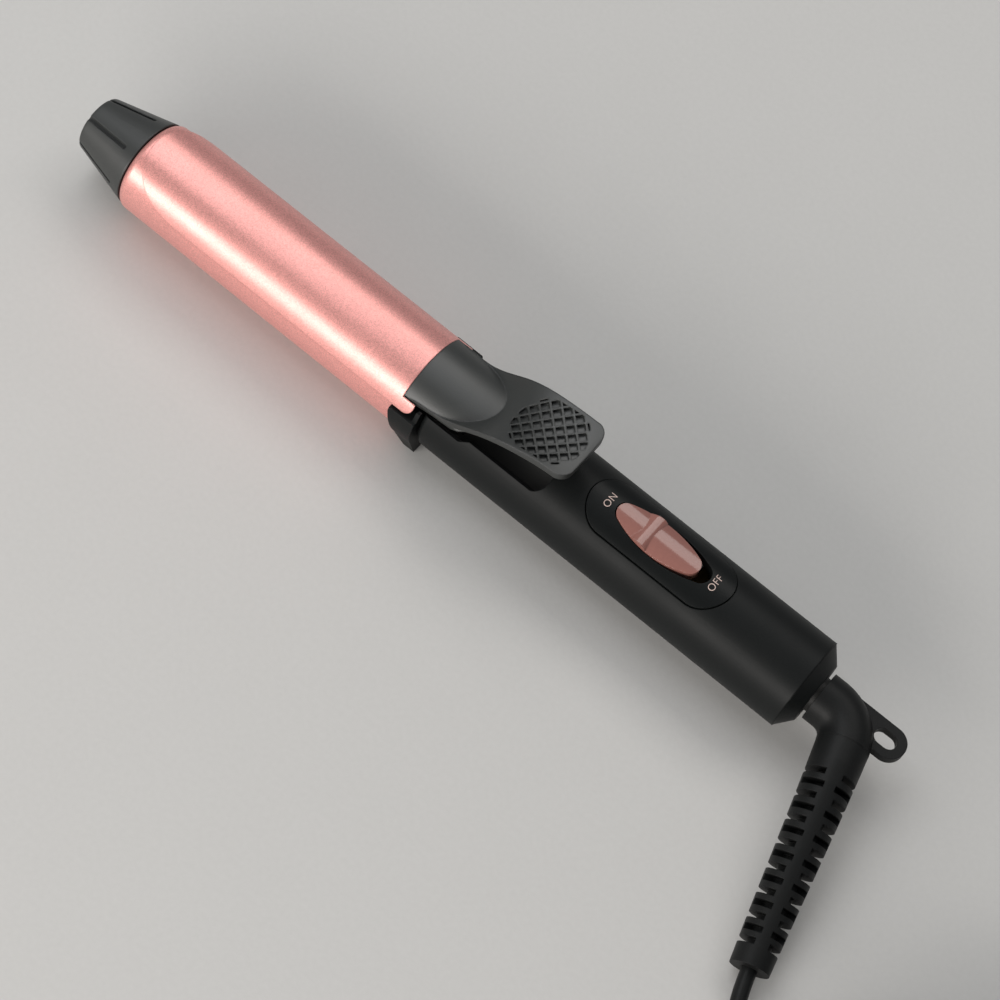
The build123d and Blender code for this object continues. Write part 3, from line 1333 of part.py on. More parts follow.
# Cord: from the strain relief along the table, into a coil, and out of it to the plug
def coil_radius(turn):
    """Spirals in and out again at a steady rate, then steps outside the other loops."""
    reversals = [COIL_LAYER_TURNS + COIL_CLIMB_TURNS / 2]
    for _ in range(COIL_LAYERS - 2):
        reversals.append(reversals[-1] + COIL_LAYER_TURNS + COIL_CLIMB_TURNS)
    r = COIL_OUTER_R - COIL_PITCH * min(turn, reversals[0])
    inward = False
    for here, there in zip(reversals, reversals[1:] + [COIL_TURNS]):
        step = COIL_PITCH * (min(max(turn, here), there) - here)
        r += -step if inward else step
        inward = not inward
    return r + (COIL_DROP_R - COIL_OUTER_R) * smooth((turn - COIL_TURNS) * 4)


def coil_point(turn):
    """Point on the cord after so many turns; it climbs where the spiral reverses."""
    layers_up = 0.0
    for layer in range(1, COIL_LAYERS):
        climb_from = layer * (COIL_LAYER_TURNS + COIL_CLIMB_TURNS) - COIL_CLIMB_TURNS
        layers_up += smooth((turn - climb_from) / COIL_CLIMB_TURNS)
    z = COIL_BASE + COIL_PITCH * layers_up
    z -= COIL_PITCH * (COIL_LAYERS - 1) * smooth(((turn - COIL_TURNS) * 360 - 20) / (COIL_DROP_DEG - 20))
    angle = radians(COIL_START_DEG) + 2 * pi * turn
    r = coil_radius(turn)
    return Vector(COIL_CENTRE[0] + r * cos(angle), COIL_CENTRE[1] + r * sin(angle), z)


def level(heading):
    return Vector(heading.X, heading.Y, 0).normalized()


coil_end_turn = COIL_TURNS + COIL_DROP_DEG / 360
coil_steps = round(coil_end_turn * 4)
coil_stops = [coil_end_turn * index / coil_steps for index in range(coil_steps + 1)]
coil_marks = [coil_point(turn) for turn in coil_stops]
coil_headings = [tangent_at(coil_point, turn) for turn in coil_stops]
coil_headings[0] = level(coil_headings[0])
coil_headings[-1] = level(coil_headings[-1])
coil_entry = coil_marks[0] - coil_headings[0] * (2 * CORD_R)
coil_exit = coil_marks[-1] + coil_headings[-1] * (2 * CORD_R)

with BuildPart() as cord_coil:
    with BuildLine() as coil_path:
        Line(coil_entry, coil_marks[0])
        biarcs(coil_marks, coil_headings)
        Line(coil_marks[-1], coil_exit)
    with BuildSketch(Plane(origin=coil_entry, z_dir=coil_headings[0])):
        Circle(CORD_R)
    sweep(path=coil_path.line)
name_and_write(cord_coil.part, "cord_coil")


def least_gap(path, apart):
    """Least gap between stretches of the cord that are further apart along it than a given length."""
    count = round(path.length / CORD_R)
    points = [path @ (index / count) for index in range(count + 1)]
    skip = round(apart / CORD_R)
    near = [(points[i] - points[j]).length for i in range(count + 1) for j in range(i + skip, count + 1)]
    return min(near) - 2 * CORD_R


coil_run = coil_path.wires()[0]
coil_gap = least_gap(coil_run, COIL_OUTER_R)
print("coil length", round(coil_run.length, 1), "least gap", round(coil_gap, 2), "over", LEAST_CORD_GAP)

with BuildPart() as cord_lead:
    relief_end = relief_plane(1)
    cord_tube([
        relief_end.origin - relief_end.z_dir * CORD_TAKE_UP,
        relief_end.origin + relief_end.z_dir * CORD_STRAIGHT,
        *[Vector(point) for point in LEAD_ROUTE],
        coil_entry,
    ])
name_and_write(cord_lead.part, "cord_lead")

with BuildPart() as cord_tail:
    cord_tube([coil_exit, *[Vector(point) for point in TAIL_ROUTE], Vector(PLUG_POINT)])
name_and_write(cord_tail.part, "cord_tail")

# Tie: a flat band round the coil
tie_turn = (TIE_DEG - COIL_START_DEG) / 360
tied_radii = [coil_radius(turn + tie_turn) for turn in range(int(COIL_TURNS) + 1)]
tie_in = min(tied_radii) - CORD_R - TIE_GAP
tie_out = max(tied_radii) + CORD_R + TIE_GAP
tie_low = COIL_BASE - CORD_R - RUN_FIT
tie_high = COIL_BASE + COIL_PITCH * (COIL_LAYERS - 1) + CORD_R + TIE_GAP
tie_out_dir = Vector(cos(radians(TIE_DEG)), sin(radians(TIE_DEG)), 0)
tie_plane = Plane(
    origin=(COIL_CENTRE[0], COIL_CENTRE[1], 0),
    x_dir=tie_out_dir,
    z_dir=tie_out_dir.cross(Vector(0, 0, 1)),
)
with BuildPart() as cord_tie:
    with BuildSketch(tie_plane):
        with Locations(((tie_in + tie_out) / 2, (tie_low + tie_high) / 2)):
            RectangleRounded(tie_out - tie_in, tie_high - tie_low, CORD_R / 2)
        offset(amount=TIE_THICK)
        with Locations(((tie_in + tie_out) / 2, (tie_low + tie_high) / 2)):
            RectangleRounded(tie_out - tie_in, tie_high - tie_low, CORD_R / 2, mode=Mode.SUBTRACT)
    extrude(amount=TIE_WIDTH / 2, both=True)
name_and_write(cord_tie.part, "cord_tie")

# Plug: a tapered sleeve, a flat moulded body and two flat blades
plug_heading = Vector(cos(radians(PLUG_HEADING)), sin(radians(PLUG_HEADING)), 0)


def plug_plane(along):
    """Across the plug at a distance from the cord's end, with local x level and local y up."""
    sideways = Vector(0, 0, 1).cross(plug_heading)
    return Plane(origin=Vector(PLUG_POINT) + plug_heading * along, x_dir=sideways, z_dir=plug_heading)


with BuildPart() as plug_relief:
    with BuildSketch(plug_plane(0)):
        Circle(PLUG_RELIEF_START_R)
    with BuildSketch(plug_plane(PLUG_RELIEF_LENGTH)):
        Circle(PLUG_RELIEF_END_R)
    loft()
name_and_write(plug_relief.part, "plug_relief")

plug_front = PLUG_RELIEF_LENGTH + PLUG_LENGTH
plug_level = Plane(origin=PLUG_POINT, x_dir=plug_heading, z_dir=(0, 0, 1))
with BuildPart() as plug_body:
    with BuildSketch(plug_level.offset(-PLUG_THICK / 2)) as plug_plan:
        with BuildLine():
            Polyline(
                (PLUG_RELIEF_LENGTH, PLUG_REAR_HALF_WIDTH),
                (PLUG_RELIEF_LENGTH + PLUG_LENGTH / 2, PLUG_HALF_WIDTH),
                (plug_front, PLUG_HALF_WIDTH),
                (plug_front, -PLUG_HALF_WIDTH),
                (PLUG_RELIEF_LENGTH + PLUG_LENGTH / 2, -PLUG_HALF_WIDTH),
                (PLUG_RELIEF_LENGTH, -PLUG_REAR_HALF_WIDTH),
                close=True,
            )
        make_face()
        fillet(plug_plan.vertices(), PLUG_EDGE_R)
    extrude(amount=PLUG_THICK)
    flat_sides = plug_body.faces().filter_by(Axis.Z)
    fillet(flat_sides.edges(), PLUG_EDGE_R)
    with BuildSketch(plug_plane(plug_front)):
        with Locations((BLADE_SPACING / 2, 0), (-BLADE_SPACING / 2, 0)):
            Rectangle(BLADE_THICK, BLADE_WIDTH)
    extrude(amount=-BLADE_SEAT, mode=Mode.SUBTRACT)
name_and_write(plug_body.part, "plug_body")

with BuildPart() as plug_blades:
    for side in (1, -1):
        with BuildSketch(plug_plane(plug_front - BLADE_SEAT)):
            with Locations((side * BLADE_SPACING / 2, 0)):
                Rectangle(BLADE_THICK, BLADE_WIDTH)
        extrude(amount=BLADE_SEAT + BLADE_LENGTH)
    blade_tips = [face for face in plug_blades.faces() if face.normal_at().dot(plug_heading) > 0.9]
    chamfer([edge for face in blade_tips for edge in face.edges()], BLADE_TIP_CHAMFER)
name_and_write(plug_blades.part, "plug_blades")
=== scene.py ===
"""A mini hair curler on a pale table, its mains lead run off to a coil and a plug.

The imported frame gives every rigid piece. This script adds the free cord, the coil's tie, the switch's
lettering, the materials, the table, the lights and the camera.
"""
import json
from math import cos, pi, radians, sin

import bmesh
import bpy
from mathutils import Matrix, Vector


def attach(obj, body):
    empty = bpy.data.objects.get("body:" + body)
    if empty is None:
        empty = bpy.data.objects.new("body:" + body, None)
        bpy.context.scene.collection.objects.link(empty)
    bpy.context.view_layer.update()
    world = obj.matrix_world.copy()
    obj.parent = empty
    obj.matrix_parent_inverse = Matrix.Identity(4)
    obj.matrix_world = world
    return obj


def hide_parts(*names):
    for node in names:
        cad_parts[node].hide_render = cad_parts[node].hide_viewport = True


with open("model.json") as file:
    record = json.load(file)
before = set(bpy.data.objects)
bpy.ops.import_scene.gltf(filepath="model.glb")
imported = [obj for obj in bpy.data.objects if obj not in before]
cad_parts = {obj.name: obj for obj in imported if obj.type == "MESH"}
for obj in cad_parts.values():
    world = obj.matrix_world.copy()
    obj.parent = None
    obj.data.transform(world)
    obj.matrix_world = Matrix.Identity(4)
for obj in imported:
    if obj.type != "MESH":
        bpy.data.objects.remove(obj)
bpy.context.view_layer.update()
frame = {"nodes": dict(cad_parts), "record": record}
nodes = frame["nodes"]
MM = 0.001

# Camera: place and clipping in metres, angles in degrees, lens and sensor in millimetres
AIM = Vector((26.5, 0.0, 14.5)) * MM
AIM_DROP = 11.1 * MM
CAMERA_DISTANCE = 636.0 * MM
CLIP_START = 0.01
CLIP_END = 20.0
VIEW_YAW = 10.05
VIEW_TILT = 25.0
VIEW_ROLL = 38.7
FOCAL_LENGTH = 93.6
SENSOR_WIDTH = 36.0

# Iron
AXIS_HEIGHT = 14.5 * MM
PANEL_R = 12.75 * MM

# Cord, repeated from the part in millimetres
CORD_R = 2.0
CORD_ROUND_STEPS = 5
CORD_RUN_STEPS = 6
LEAD_START = (142.56, -57.53, 5.65)
LEAD_EXIT = (144.30, -63.75, 4.92)
LEAD_ROUTE = (
    (146.6, -70.0, 4.2),
    (152.42, -80.5, 3.1),
    (163.57, -91.27, 2.7),
)
COIL_CENTRE = (196.0, -78.0)
COIL_START_DEG = 235.0
COIL_OUTER_R = 29.0
COIL_PITCH = 4.5
COIL_TURNS = 11.5
COIL_LAYER_TURNS = 2.5
COIL_LAYERS = 4
COIL_CLIMB_TURNS = 0.5
COIL_DROP_DEG = 240.0
COIL_DROP_WAIT_DEG = 20.0
COIL_DROP_R = 34.8
COIL_STEP_OUT_TURNS = 0.25
COIL_BASE = 2.7
COIL_POINTS_PER_TURN = 24
TAIL_ROUTE = (
    (221.13, -104.68, 2.7),
    (227.59, -99.63, 3.4),
    (232.75, -93.26, 4.7),
    (236.35, -85.89, 5.9),
    (238.19, -77.9, 6.5),
    (238.19, -69.9, 6.5),
)

# Tie round the coil, in millimetres
TIE_DEG = 330.0
TIE_WIDTH = 5.0
TIE_THICK = 0.6
TIE_GAP = 0.3
TIE_GAP_BELOW = 0.05
TIE_CORNER_R = CORD_R / 2
TIE_CORNER_STEPS = 8
TIE_EDGE_STEPS = 4
TIE_SMOOTH_DEG = 35.0
LAP_WIDTH = 4.5
LAP_THICK = 0.5
LAP_SHARE = 0.78
LAP_STEPS = 12

# Lettering on the switch panel
LETTER_SIZE = 2.65 * MM
LETTER_THIN = 0.04 * MM
LETTER_PROUD = 0.05 * MM
LETTER_SPACING = 1.08
LETTER_CURVE_STEPS = 8
ON_X = 49.5 * MM
OFF_X = 81.5 * MM

# What all finishes share: grain relief, broad noise for the gloss, and flecks
RELIEF_DEPTH = 0.2 * MM
GRAIN_DETAIL = 3.0
BROAD_SCALE = 45.0
BROAD_DETAIL = 4.0
BROAD_LOW = 0.3
BROAD_HIGH = 0.7
FLECKS_PER_GRAIN = 1.6
ROUND_EDGE_SAMPLES = 4

# Sockets of a colour mix
MIX_FACTOR = 0
MIX_FIRST = 6
MIX_SECOND = 7
MIX_RESULT = 2

# Finishes of the record's material slots; round_edge is in millimetres
FINISHES = {
    "rose_metal": dict(
        colour=(0.74, 0.325, 0.295), accent=(0.84, 0.395, 0.36),
        rough=(0.33, 0.39), grain=3200, bump=0.07,
        metallic=0.55, specular=0.4, flecks=0.25, round_edge=0.5,
    ),
    "black_shell": dict(
        colour=(0.0045, 0.0055, 0.0055), accent=(0.0085, 0.0095, 0.0095),
        rough=(0.42, 0.52), grain=2600, bump=0.10,
        specular=0.16, round_edge=0.3,
    ),
    "black_core": dict(
        colour=(0.016, 0.016, 0.015), accent=(0.024, 0.024, 0.022),
        rough=(0.5, 0.6), grain=2200, bump=0.12,
        round_edge=0.2,
    ),
    "black_sleeve": dict(
        colour=(0.005, 0.0055, 0.0055), accent=(0.009, 0.0095, 0.0095),
        rough=(0.44, 0.56), grain=1800, bump=0.14,
        specular=0.18, round_edge=0.25,
    ),
    "cord_sheath": dict(
        colour=(0.005, 0.0055, 0.0055), accent=(0.009, 0.0095, 0.0095),
        rough=(0.38, 0.5), grain=1500, bump=0.12,
        specular=0.2,
    ),
    "button_rose": dict(
        colour=(0.27, 0.115, 0.095), accent=(0.31, 0.135, 0.11),
        rough=(0.12, 0.18), grain=1200, bump=0.02,
        coat=0.5, coat_rough=0.05, round_edge=0.3,
    ),
    "panel_black": dict(
        colour=(0.004, 0.005, 0.005), accent=(0.007, 0.008, 0.008),
        rough=(0.32, 0.38), grain=3000, bump=0.05,
        specular=0.16, round_edge=0.2,
    ),
    "spreader_aluminium": dict(
        colour=(0.62, 0.63, 0.64), accent=(0.72, 0.73, 0.74),
        rough=(0.42, 0.55), grain=1400, bump=0.2,
        metallic=1.0,
    ),
    "steel": dict(
        colour=(0.48, 0.48, 0.49), accent=(0.60, 0.60, 0.61),
        rough=(0.24, 0.34), grain=1200, bump=0.08,
        metallic=1.0, stretch=(0.1, 1, 1),
    ),
    "ceramic": dict(
        colour=(0.72, 0.70, 0.64), accent=(0.78, 0.76, 0.70),
        rough=(0.5, 0.6), grain=1800, bump=0.15,
    ),
    "film": dict(
        colour=(0.45, 0.18, 0.03), accent=(0.52, 0.23, 0.05),
        rough=(0.2, 0.3), grain=900, bump=0.05,
        coat=0.3,
    ),
    "wire_sleeve": dict(
        colour=(0.62, 0.62, 0.59), accent=(0.68, 0.68, 0.65),
        rough=(0.45, 0.55), grain=1600, bump=0.1,
    ),
    "board": dict(
        colour=(0.27, 0.17, 0.06), accent=(0.34, 0.22, 0.08),
        rough=(0.4, 0.5), grain=900, bump=0.1,
    ),
    "brass": dict(
        colour=(0.52, 0.33, 0.10), accent=(0.60, 0.40, 0.15),
        rough=(0.25, 0.35), grain=1200, bump=0.06,
        metallic=1.0,
    ),
    "blade_metal": dict(
        colour=(0.62, 0.58, 0.46), accent=(0.70, 0.66, 0.55),
        rough=(0.2, 0.3), grain=1500, bump=0.06,
        metallic=1.0, stretch=(1, 0.08, 1),
    ),
    "tie": dict(
        colour=(0.012, 0.012, 0.013), accent=(0.026, 0.026, 0.028),
        rough=(0.75, 0.9), grain=1100, bump=0.8,
    ),
}
LABEL_FINISH = dict(
    colour=(0.66, 0.50, 0.44), accent=(0.72, 0.56, 0.50),
    rough=(0.4, 0.5), grain=1800, bump=0.05,
)
# The lever and the tip are the same black plastic as the shell but with a stronger specular. Their colour
# is painted lighter as painted light, because they catch more light than the rest of the shell.
LIT_SHELL_FINISH = dict(
    colour=(0.014, 0.016, 0.015), accent=(0.022, 0.0245, 0.023),
    rough=(0.40, 0.48), grain=2600, bump=0.10,
    specular=0.8, round_edge=0.6,
)
LIT_SHELL_NODES = ("clamp_lever", "cool_tip")

# Table, with half its side in metres, and light
TABLE_HALF = 3
TABLE_FINISH = dict(
    colour=(0.56, 0.555, 0.54), accent=(0.60, 0.595, 0.58),
    rough=(0.6, 0.7), grain=700, bump=0.10,
)
SKY_COLOUR = (0.95, 0.97, 1.0)
SKY_STRENGTH = 0.22
# Each soft box in degrees, metres and watts: bearing from +X, elevation over the table
SOFT_BOXES = {
    "window": dict(
        bearing=-98.0, elevation=19.0, distance=1.1, size=(1.6, 0.42), power=13.5,
        colour=(1.0, 0.96, 0.92),
    ),
    "overhead": dict(
        bearing=95.0, elevation=55.0, distance=1.2, size=(1.4, 0.5), power=5.0,
        colour=(1.0, 0.98, 0.95),
    ),
    "fill": dict(
        bearing=170.0, elevation=60.0, distance=1.6, size=(1.0, 1.0), power=7.0,
        colour=(0.97, 0.98, 1.0),
    ),
}


def add_object(name, data):
    """Object at the origin, linked into the scene."""
    made = bpy.data.objects.new(name, data)
    bpy.context.scene.collection.objects.link(made)
    return made


def make_camera():
    """Camera at the photograph's angle, rolled so that the iron runs down to the right."""
    yaw = radians(VIEW_YAW)
    tilt = radians(VIEW_TILT)
    roll = radians(VIEW_ROLL)
    back = Vector((sin(yaw), -cos(yaw) * sin(tilt), cos(yaw) * cos(tilt)))
    along = Vector((1, 0, 0)) - back * back.x
    along.normalize()
    across = back.cross(along)
    right = along * cos(roll) + across * sin(roll)
    up = across * cos(roll) - along * sin(roll)
    data = bpy.data.cameras.new("camera")
    data.lens = FOCAL_LENGTH
    data.sensor_width = SENSOR_WIDTH
    data.clip_start = CLIP_START
    data.clip_end = CLIP_END
    camera = add_object("camera", data)
    place = AIM - across * AIM_DROP + back * CAMERA_DISTANCE
    turn = Matrix((right, up, back)).transposed()
    camera.matrix_world = Matrix.Translation(place) @ turn.to_4x4()
    bpy.context.scene.camera = camera


def smooth(u):
    """Ease from 0 to 1."""
    u = min(max(u, 0.0), 1.0)
    return u * u * (3 - 2 * u)


def coil_radius(turn):
    """Radius in and out again at a steady rate, layer by layer, then a step outside the other loops."""
    reversals = [COIL_LAYER_TURNS + COIL_CLIMB_TURNS / 2]
    for _ in range(COIL_LAYERS - 2):
        reversals.append(reversals[-1] + COIL_LAYER_TURNS + COIL_CLIMB_TURNS)
    r = COIL_OUTER_R - COIL_PITCH * min(turn, reversals[0])
    inward = False
    for here, there in zip(reversals, reversals[1:] + [COIL_TURNS]):
        step = COIL_PITCH * (min(max(turn, here), there) - here)
        r += -step if inward else step
        inward = not inward
    step_out = smooth((turn - COIL_TURNS) / COIL_STEP_OUT_TURNS)
    return r + (COIL_DROP_R - COIL_OUTER_R) * step_out


def coil_height(turn):
    """Height layer by layer, then down to the table outside the other loops."""
    layers_up = 0.0
    for layer in range(1, COIL_LAYERS):
        climb_from = layer * (COIL_LAYER_TURNS + COIL_CLIMB_TURNS) - COIL_CLIMB_TURNS
        layers_up += smooth((turn - climb_from) / COIL_CLIMB_TURNS)
    past_deg = (turn - COIL_TURNS) * 360 - COIL_DROP_WAIT_DEG
    drop = smooth(past_deg / (COIL_DROP_DEG - COIL_DROP_WAIT_DEG))
    return COIL_BASE + COIL_PITCH * (layers_up - (COIL_LAYERS - 1) * drop)


def coil_points():
    """Control points of the coil, set out a little so that the spline has the coil's radius."""
    last = COIL_TURNS + COIL_DROP_DEG / 360
    count = round(last * COIL_POINTS_PER_TURN)
    spread = 1 / cos(pi / COIL_POINTS_PER_TURN)
    points = []
    for index in range(count + 1):
        turn = last * index / count
        angle = radians(COIL_START_DEG) + 2 * pi * turn
        r = coil_radius(turn) * (spread if 0 < index < count else 1)
        x = COIL_CENTRE[0] + r * cos(angle)
        y = COIL_CENTRE[1] + r * sin(angle)
        points.append((x, y, coil_height(turn)))
    return points


def nurbs(name, points, radius):
    """Round cord along one smooth spline that has the route's points as control points, in millimetres."""
    data = bpy.data.curves.new(name, "CURVE")
    data.dimensions = "3D"
    # A bevel depth of 1 leaves the cord's radius to its points
    data.bevel_depth = 1.0
    data.bevel_resolution = CORD_ROUND_STEPS
    data.resolution_u = CORD_RUN_STEPS
    data.use_fill_caps = True
    spline = data.splines.new("NURBS")
    spline.points.add(len(points) - 1)
    for control, point in zip(spline.points, points):
        control.co = (point[0] * MM, point[1] * MM, point[2] * MM, 1)
        control.radius = radius * MM
    spline.order_u = 3
    spline.use_endpoint_u = True
    return add_object(name, data)


def mesh_piece(name, vertices, faces):
    """Piece with its faces turned outwards and its rounded edges smooth."""
    data = bpy.data.meshes.new(name)
    data.from_pydata(vertices, [], faces)
    work = bmesh.new()
    work.from_mesh(data)
    bmesh.ops.recalc_face_normals(work, faces=work.faces)
    work.to_mesh(data)
    work.free()
    data.shade_smooth()
    data.set_sharp_from_angle(angle=radians(TIE_SMOOTH_DEG))
    return add_object(name, data)


def rounded_corners(low, high, radius):
    """Points and outward directions round a rectangle with round corners, both as pairs."""
    corners = (
        (high[0] - radius, high[1] - radius),
        (low[0] + radius, high[1] - radius),
        (low[0] + radius, low[1] + radius),
        (high[0] - radius, low[1] + radius),
    )
    around = []
    for quarter, (u, v) in enumerate(corners):
        for step in range(TIE_CORNER_STEPS + 1):
            angle = pi / 2 * (quarter + step / TIE_CORNER_STEPS)
            out = (cos(angle), sin(angle))
            around.append(((u + radius * out[0], v + radius * out[1]), out))
    return around


def band(around, closed, width, thick, lift, place):
    """Vertices and faces of a flat band with round edges, run along a line in the tie's plane.

    The band stands off the line by the lift, on its outward side, and place gives the points in the scene.
    """
    edge = thick / 2
    section = []
    for side in (1, -1):
        for step in range(TIE_EDGE_STEPS + 1):
            angle = pi / 2 - pi * step / TIE_EDGE_STEPS
            across = side * (width / 2 - edge + edge * cos(angle))
            section.append((across, edge + side * edge * sin(angle)))
    vertices = []
    for (u, v), (out_u, out_v) in around:
        for across, height in section:
            rise = lift + height
            vertices.append(place(u + out_u * rise, v + out_v * rise, across))
    count = len(section)
    rows = len(around)
    faces = []
    for row in range(rows if closed else rows - 1):
        here = row * count
        there = (row + 1) % rows * count
        for k in range(count):
            after = (k + 1) % count
            faces.append((here + k, here + after, there + after, there + k))
    if not closed:
        faces.append(tuple(range(count)))
        faces.append(tuple(range((rows - 1) * count, rows * count)))
    return vertices, faces


def coil_tie():
    """Hook-and-loop strap: a closed band round the coil, and its end lapped over the top."""
    tie_turn = (TIE_DEG - COIL_START_DEG) / 360
    radii = [coil_radius(turn + tie_turn) for turn in range(int(COIL_TURNS) + 1)]
    coil_top = COIL_BASE + COIL_PITCH * (COIL_LAYERS - 1) + CORD_R
    low = (min(radii) - CORD_R - TIE_GAP, COIL_BASE - CORD_R - TIE_GAP_BELOW)
    high = (max(radii) + CORD_R + TIE_GAP, coil_top + TIE_GAP)
    out = Vector((cos(radians(TIE_DEG)), sin(radians(TIE_DEG)), 0))
    sideways = out.cross(Vector((0, 0, 1)))

    def place(u, v, across):
        spot = Vector((*COIL_CENTRE, 0)) + out * u + sideways * across
        return Vector((spot.x, spot.y, v)) * MM

    loop = rounded_corners(low, high, TIE_CORNER_R)
    vertices, faces = band(loop, True, TIE_WIDTH, TIE_THICK, 0, place)
    lap_start = low[0] + TIE_CORNER_R
    lap_length = (high[0] - low[0]) * LAP_SHARE
    lap = []
    for step in range(LAP_STEPS + 1):
        lap.append(((lap_start + lap_length * step / LAP_STEPS, high[1]), (0, 1)))
    lap_vertices, lap_faces = band(lap, False, LAP_WIDTH, LAP_THICK, TIE_THICK, place)
    base = len(vertices)
    faces += [tuple(base + k for k in face) for face in lap_faces]
    return mesh_piece("coil_tie", vertices + lap_vertices, faces)


def lettering(name, text, x):
    """Raised letters that follow the round panel and read across the iron, tops towards the tip."""
    font = bpy.data.curves.new(name, "FONT")
    font.body = text
    font.size = LETTER_SIZE
    font.align_x = "CENTER"
    font.align_y = "CENTER"
    font.space_character = LETTER_SPACING
    font.extrude = LETTER_PROUD
    font.offset = -LETTER_THIN
    font.resolution_u = LETTER_CURVE_STEPS
    holder = add_object(name, font)
    bpy.context.view_layer.update()
    data = bpy.data.meshes.new_from_object(holder)
    bpy.data.objects.remove(holder)
    for vertex in data.vertices:
        across, up, height = vertex.co
        turn = across / PANEL_R
        r = PANEL_R + height
        vertex.co = (x - up, r * sin(turn), AXIS_HEIGHT + r * cos(turn))
    data.name = name
    piece = add_object(name, data)
    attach(piece, "handle")
    return piece


def add_node(tree, kind, inputs):
    """Shader node with values for its named inputs."""
    made = tree.nodes.new(kind)
    for socket, value in inputs.items():
        made.inputs[socket].default_value = value
    return made


def surface(
    name, colour, accent, rough, grain, bump,
    metallic=0.0, coat=0.0, coat_rough=0.1, specular=0.5, stretch=(1, 1, 1), flecks=0.0, round_edge=0.0,
):
    """Moulded, painted or metal finish: fine grain in colour and relief, and a broad change in gloss.

    Flecks add sparkle to the colour, and round_edge softens the look of sharp edges.
    """
    made = bpy.data.materials.new(name)
    made.use_nodes = True
    tree = made.node_tree
    links = tree.links
    shader = tree.nodes["Principled BSDF"]
    shader.inputs["Metallic"].default_value = metallic
    shader.inputs["Coat Weight"].default_value = coat
    shader.inputs["Coat Roughness"].default_value = coat_rough
    shader.inputs["Specular IOR Level"].default_value = specular

    coords = tree.nodes.new("ShaderNodeTexCoord")
    mapping = add_node(tree, "ShaderNodeMapping", {"Scale": stretch})
    links.new(coords.outputs["Object"], mapping.inputs["Vector"])
    fine = add_node(tree, "ShaderNodeTexNoise", {"Scale": grain, "Detail": GRAIN_DETAIL})
    links.new(mapping.outputs["Vector"], fine.inputs["Vector"])
    broad = add_node(tree, "ShaderNodeTexNoise", {"Scale": BROAD_SCALE, "Detail": BROAD_DETAIL})
    links.new(coords.outputs["Object"], broad.inputs["Vector"])

    tint = tree.nodes.new("ShaderNodeMix")
    tint.data_type = "RGBA"
    tint.inputs[MIX_FIRST].default_value = (*colour, 1)
    tint.inputs[MIX_SECOND].default_value = (*accent, 1)
    links.new(fine.outputs["Fac"], tint.inputs[MIX_FACTOR])
    base_colour = tint.outputs[MIX_RESULT]
    if flecks:
        cells = add_node(tree, "ShaderNodeTexVoronoi", {"Scale": grain * FLECKS_PER_GRAIN})
        links.new(mapping.outputs["Vector"], cells.inputs["Vector"])
        spark = add_node(tree, "ShaderNodeMapRange", {"To Min": 1.0 - flecks, "To Max": 1.0 + flecks})
        links.new(cells.outputs["Color"], spark.inputs["Value"])
        scale = tree.nodes.new("ShaderNodeVectorMath")
        scale.operation = "SCALE"
        links.new(base_colour, scale.inputs[0])
        links.new(spark.outputs["Result"], scale.inputs["Scale"])
        base_colour = scale.outputs["Vector"]
    links.new(base_colour, shader.inputs["Base Color"])

    gloss = add_node(
        tree,
        "ShaderNodeMapRange",
        {"From Min": BROAD_LOW, "From Max": BROAD_HIGH, "To Min": rough[0], "To Max": rough[1]},
    )
    links.new(broad.outputs["Fac"], gloss.inputs["Value"])
    links.new(gloss.outputs["Result"], shader.inputs["Roughness"])

    relief = add_node(tree, "ShaderNodeBump", {"Strength": bump, "Distance": RELIEF_DEPTH})
    links.new(fine.outputs["Fac"], relief.inputs["Height"])
    if round_edge:
        edges = add_node(tree, "ShaderNodeBevel", {"Radius": round_edge * MM})
        edges.samples = ROUND_EDGE_SAMPLES
        links.new(edges.outputs["Normal"], relief.inputs["Normal"])
    links.new(relief.outputs["Normal"], shader.inputs["Normal"])
    return made


def paint(piece, finish):
    piece.data.materials.clear()
    piece.data.materials.append(finish)


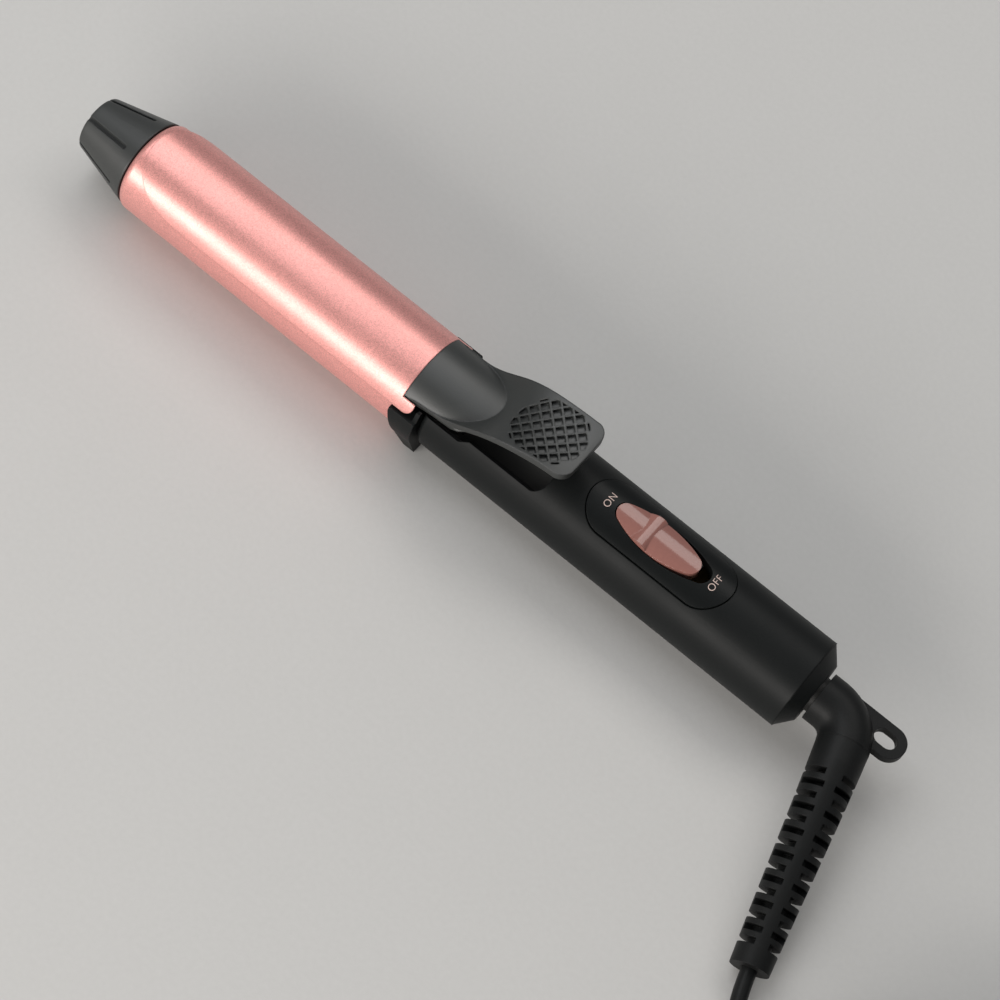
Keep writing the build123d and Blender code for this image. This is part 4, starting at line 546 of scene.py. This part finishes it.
def make_table():
    data = bpy.data.meshes.new("table")
    corners = [
        (-TABLE_HALF, -TABLE_HALF, 0),
        (TABLE_HALF, -TABLE_HALF, 0),
        (TABLE_HALF, TABLE_HALF, 0),
        (-TABLE_HALF, TABLE_HALF, 0),
    ]
    data.from_pydata(corners, [], [(0, 1, 2, 3)])
    table = add_object("table", data)
    paint(table, surface("table_top", **TABLE_FINISH))


def make_world():
    world = bpy.data.worlds.new("studio")
    world.use_nodes = True
    sky = world.node_tree.nodes["Background"]
    sky.inputs["Color"].default_value = (*SKY_COLOUR, 1)
    sky.inputs["Strength"].default_value = SKY_STRENGTH
    bpy.context.scene.world = world


def soft_box(name, bearing, elevation, distance, size, power, colour):
    """Rectangular soft light aimed at the middle of the iron."""
    data = bpy.data.lights.new(name, "AREA")
    data.shape = "RECTANGLE"
    data.size, data.size_y = size
    data.energy = power
    data.color = colour
    light = add_object(name, data)
    turn = radians(bearing)
    rise = radians(elevation)
    away = Vector((cos(turn) * cos(rise), sin(turn) * cos(rise), sin(rise)))
    light.location = Vector((0, 0, AXIS_HEIGHT)) + away * distance
    light.rotation_euler = away.to_track_quat("Z", "Y").to_euler()


make_camera()

# Cord and tie
tie_piece = coil_tie()
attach(tie_piece, "lead")
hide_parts("cord_tie")
mains_cord = nurbs("mains_cord", [LEAD_START, LEAD_EXIT, *LEAD_ROUTE, *coil_points(), *TAIL_ROUTE], CORD_R)
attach(mains_cord, "lead")
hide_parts("cord_lead", "cord_coil", "cord_tail")

# Lettering
label_on = lettering("label_on", "ON", ON_X)
label_off = lettering("label_off", "OFF", OFF_X)

# Finishes
finishes = {slot: surface(slot, **look) for slot, look in FINISHES.items()}
# Lit copy of the shell finish for the lever and the tip, its colour painted lighter as painted light
painted_lit_shell = surface("painted_lit_shell", **LIT_SHELL_FINISH)
label_ink = surface("label_ink", **LABEL_FINISH)
for part in frame["record"]["subparts"]:
    finish = painted_lit_shell if part["node"] in LIT_SHELL_NODES else finishes[part["material_slot"]]
    for material_slot in nodes[part["node"]].material_slots:
        material_slot.material = finish
paint(mains_cord, finishes["cord_sheath"])
paint(tie_piece, finishes["tie"])
paint(label_on, label_ink)
paint(label_off, label_ink)

# Table, world and lights
bpy.context.scene.view_settings.view_transform = "Standard"
make_table()
make_world()
for box_name, box in SOFT_BOXES.items():
    soft_box(box_name, **box)

bpy.context.view_layer.update()
